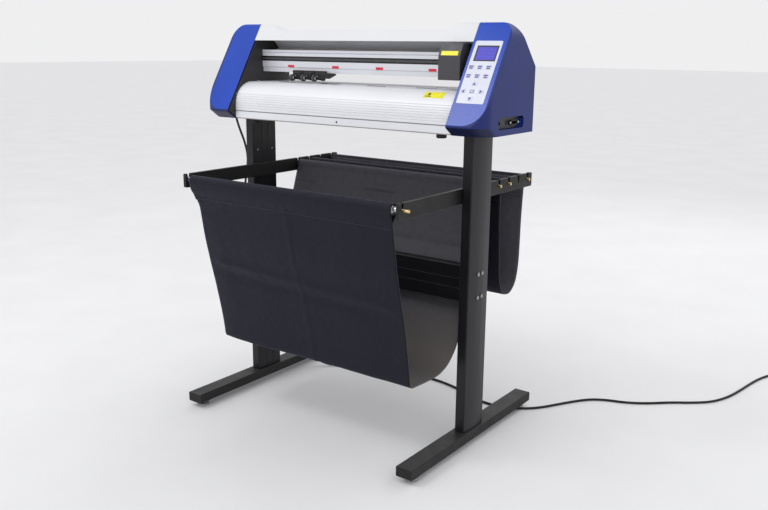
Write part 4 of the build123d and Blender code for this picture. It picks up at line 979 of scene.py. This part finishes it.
def add_labels():
    """Plain yellow labels and red marks, with no wording."""
    yellow = printed("label_yellow", (0.92, 0.86, 0.02))
    dark = printed("label_ink", (0.05, 0.05, 0.04))
    red = printed("mark_red", (0.72, 0.02, 0.05))
    curved_label("nose_label", 0.268, 0.326, 46, 67, NOSE_RADIUS, yellow)
    curved_label("nose_label_ink_1", 0.273, 0.291, 49.5, 52, NOSE_RADIUS + 0.0002, dark)
    curved_label("nose_label_ink_2", 0.279, 0.286, 54, 62, NOSE_RADIUS + 0.0002, dark)
    out = Vector((0, -0.9, 0.43))
    corner = Vector((0.297, -0.0652, 1.0213)) + out * 0.0001
    across, upward = Vector((0.048, 0, 0)), Vector((0, 0.00496, 0.01024))
    flat_patch("carriage_label", corner, across, upward, out, yellow, "carriage")
    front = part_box("rail_beam")[0].y
    wide, tall = 0.024, 0.0068
    across, upward = Vector((wide, 0, 0)), Vector((0, 0, tall))
    for number, x in enumerate((-0.252, -0.087, 0.065, 0.234), start=1):
        corner = Vector((x - wide / 2, front - 0.0001, 0.9795))
        name = f"grip_mark_{number}"
        flat_patch(name, corner, across, upward, Vector((0, -1, 0)), red, ROOT)


def screw_head(name, place, out, radius, finishes, body, slot="bolt_steel"):
    """A domed screw head with a hexagon recess."""
    side = out.orthogonal().normalized()
    other = out.cross(side)
    around = 24
    socket_rings = (0.46, 0.44)
    rings = (  # each ring's radius and height, as shares of the head's radius
        (1.0, 0.0), (1.0, 0.25), (0.9, 0.42), (0.7, 0.52),
        (0.52, 0.55), (0.46, 0.54), (0.44, 0.2), (0.0, 0.18),
    )
    corners = []
    for wide, tall in rings:
        for index in range(around):
            turn = 2 * pi * index / around
            sides = 1.0
            if wide in socket_rings:
                sides = cos(pi / 6) / cos((turn % (pi / 3)) - pi / 6)
            spoke = side * cos(turn) + other * sin(turn)
            corners.append(place + spoke * radius * wide * sides + out * radius * tall)
    faces = grid_faces(len(rings), around, closed=True)
    return piece(name, corners, faces, finishes[slot], body)


def add_screws(finishes):
    """Small screws on the front lip, the side panels, the port plate and the carriage's side."""
    lip_middle = Vector((0.011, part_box("front_panel")[0].y, 0.846))
    screw_head("lip_screw", lip_middle, Vector((0, -1, 0)), 0.0026, finishes, ROOT, "pinch_plastic")
    for number, y in enumerate((0.000, 0.040)):
        stud = Vector((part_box("port_connectors")[1].x - MM, y, 0.8635))
        screw_head(f"jack_screw_{number}", stud, Vector((1, 0, 0)), 0.0030, finishes, ROOT, "rod_steel")
    panel_inside = 0.365
    panel_screws = ((-0.1135, 0.905), (0.020, 1.070), (0.095, 0.960))
    for side in (-1, 1):
        for number, (y, z) in enumerate(panel_screws):
            place = Vector((side * panel_inside, y, z))
            name = f"panel_screw_{'left' if side < 0 else 'right'}_{number}"
            screw_head(name, place, Vector((-side, 0, 0)), 0.0024, finishes, ROOT)
    low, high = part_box("carriage_cover")
    cover_screws = ((-0.04, 0.985), (0.015, 1.038))
    for number, (y, z) in enumerate(cover_screws):
        for side, x in ((-1, low.x), (1, high.x)):
            name = f"carriage_screw_{number}_{'left' if side < 0 else 'right'}"
            screw_head(name, Vector((x, y, z)), Vector((side, 0, 0)), 0.0024, finishes, "carriage")


def add_wheel_hubs(finishes):
    """A bright hub disc with a retaining ring on both sides of every pinch wheel."""
    for number in (1, 2, 3):
        low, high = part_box(f"pinch_wheel_{number}")
        middle = (low + high) / 2
        for side, x in ((-1, low.x), (1, high.x)):
            screw_head(
                f"wheel_hub_{number}_{'left' if side < 0 else 'right'}", Vector((x, middle.y, middle.z)),
                Vector((side, 0, 0)), 0.0046, finishes, f"pinch_wheel_{number}", "bearing_steel",
            )


def main():
    """The whole scene: camera, room, finishes and what the CAD leaves to the looks."""
    finishes = slot_materials()
    finishes["thread"] = thread()
    finishes["rear_pocket"] = woven_nylon("pocket_nylon", 0.245)
    add_camera()
    add_cord(finishes)
    add_studio()
    dress_nodes(finishes)
    add_basket(
        "front_sling", "front_basket", FRONT_SLING, ROD_YS[:2],
        front_shape, finishes["basket_cloth"], finishes,
    )
    add_basket(
        "rear_pocket", "rear_basket", REAR_POCKET, ROD_YS[2:],
        rear_shape, finishes["rear_pocket"], finishes,
    )
    add_key_symbols()
    add_labels()
    add_screws(finishes)
    add_wheel_hubs(finishes)


main()
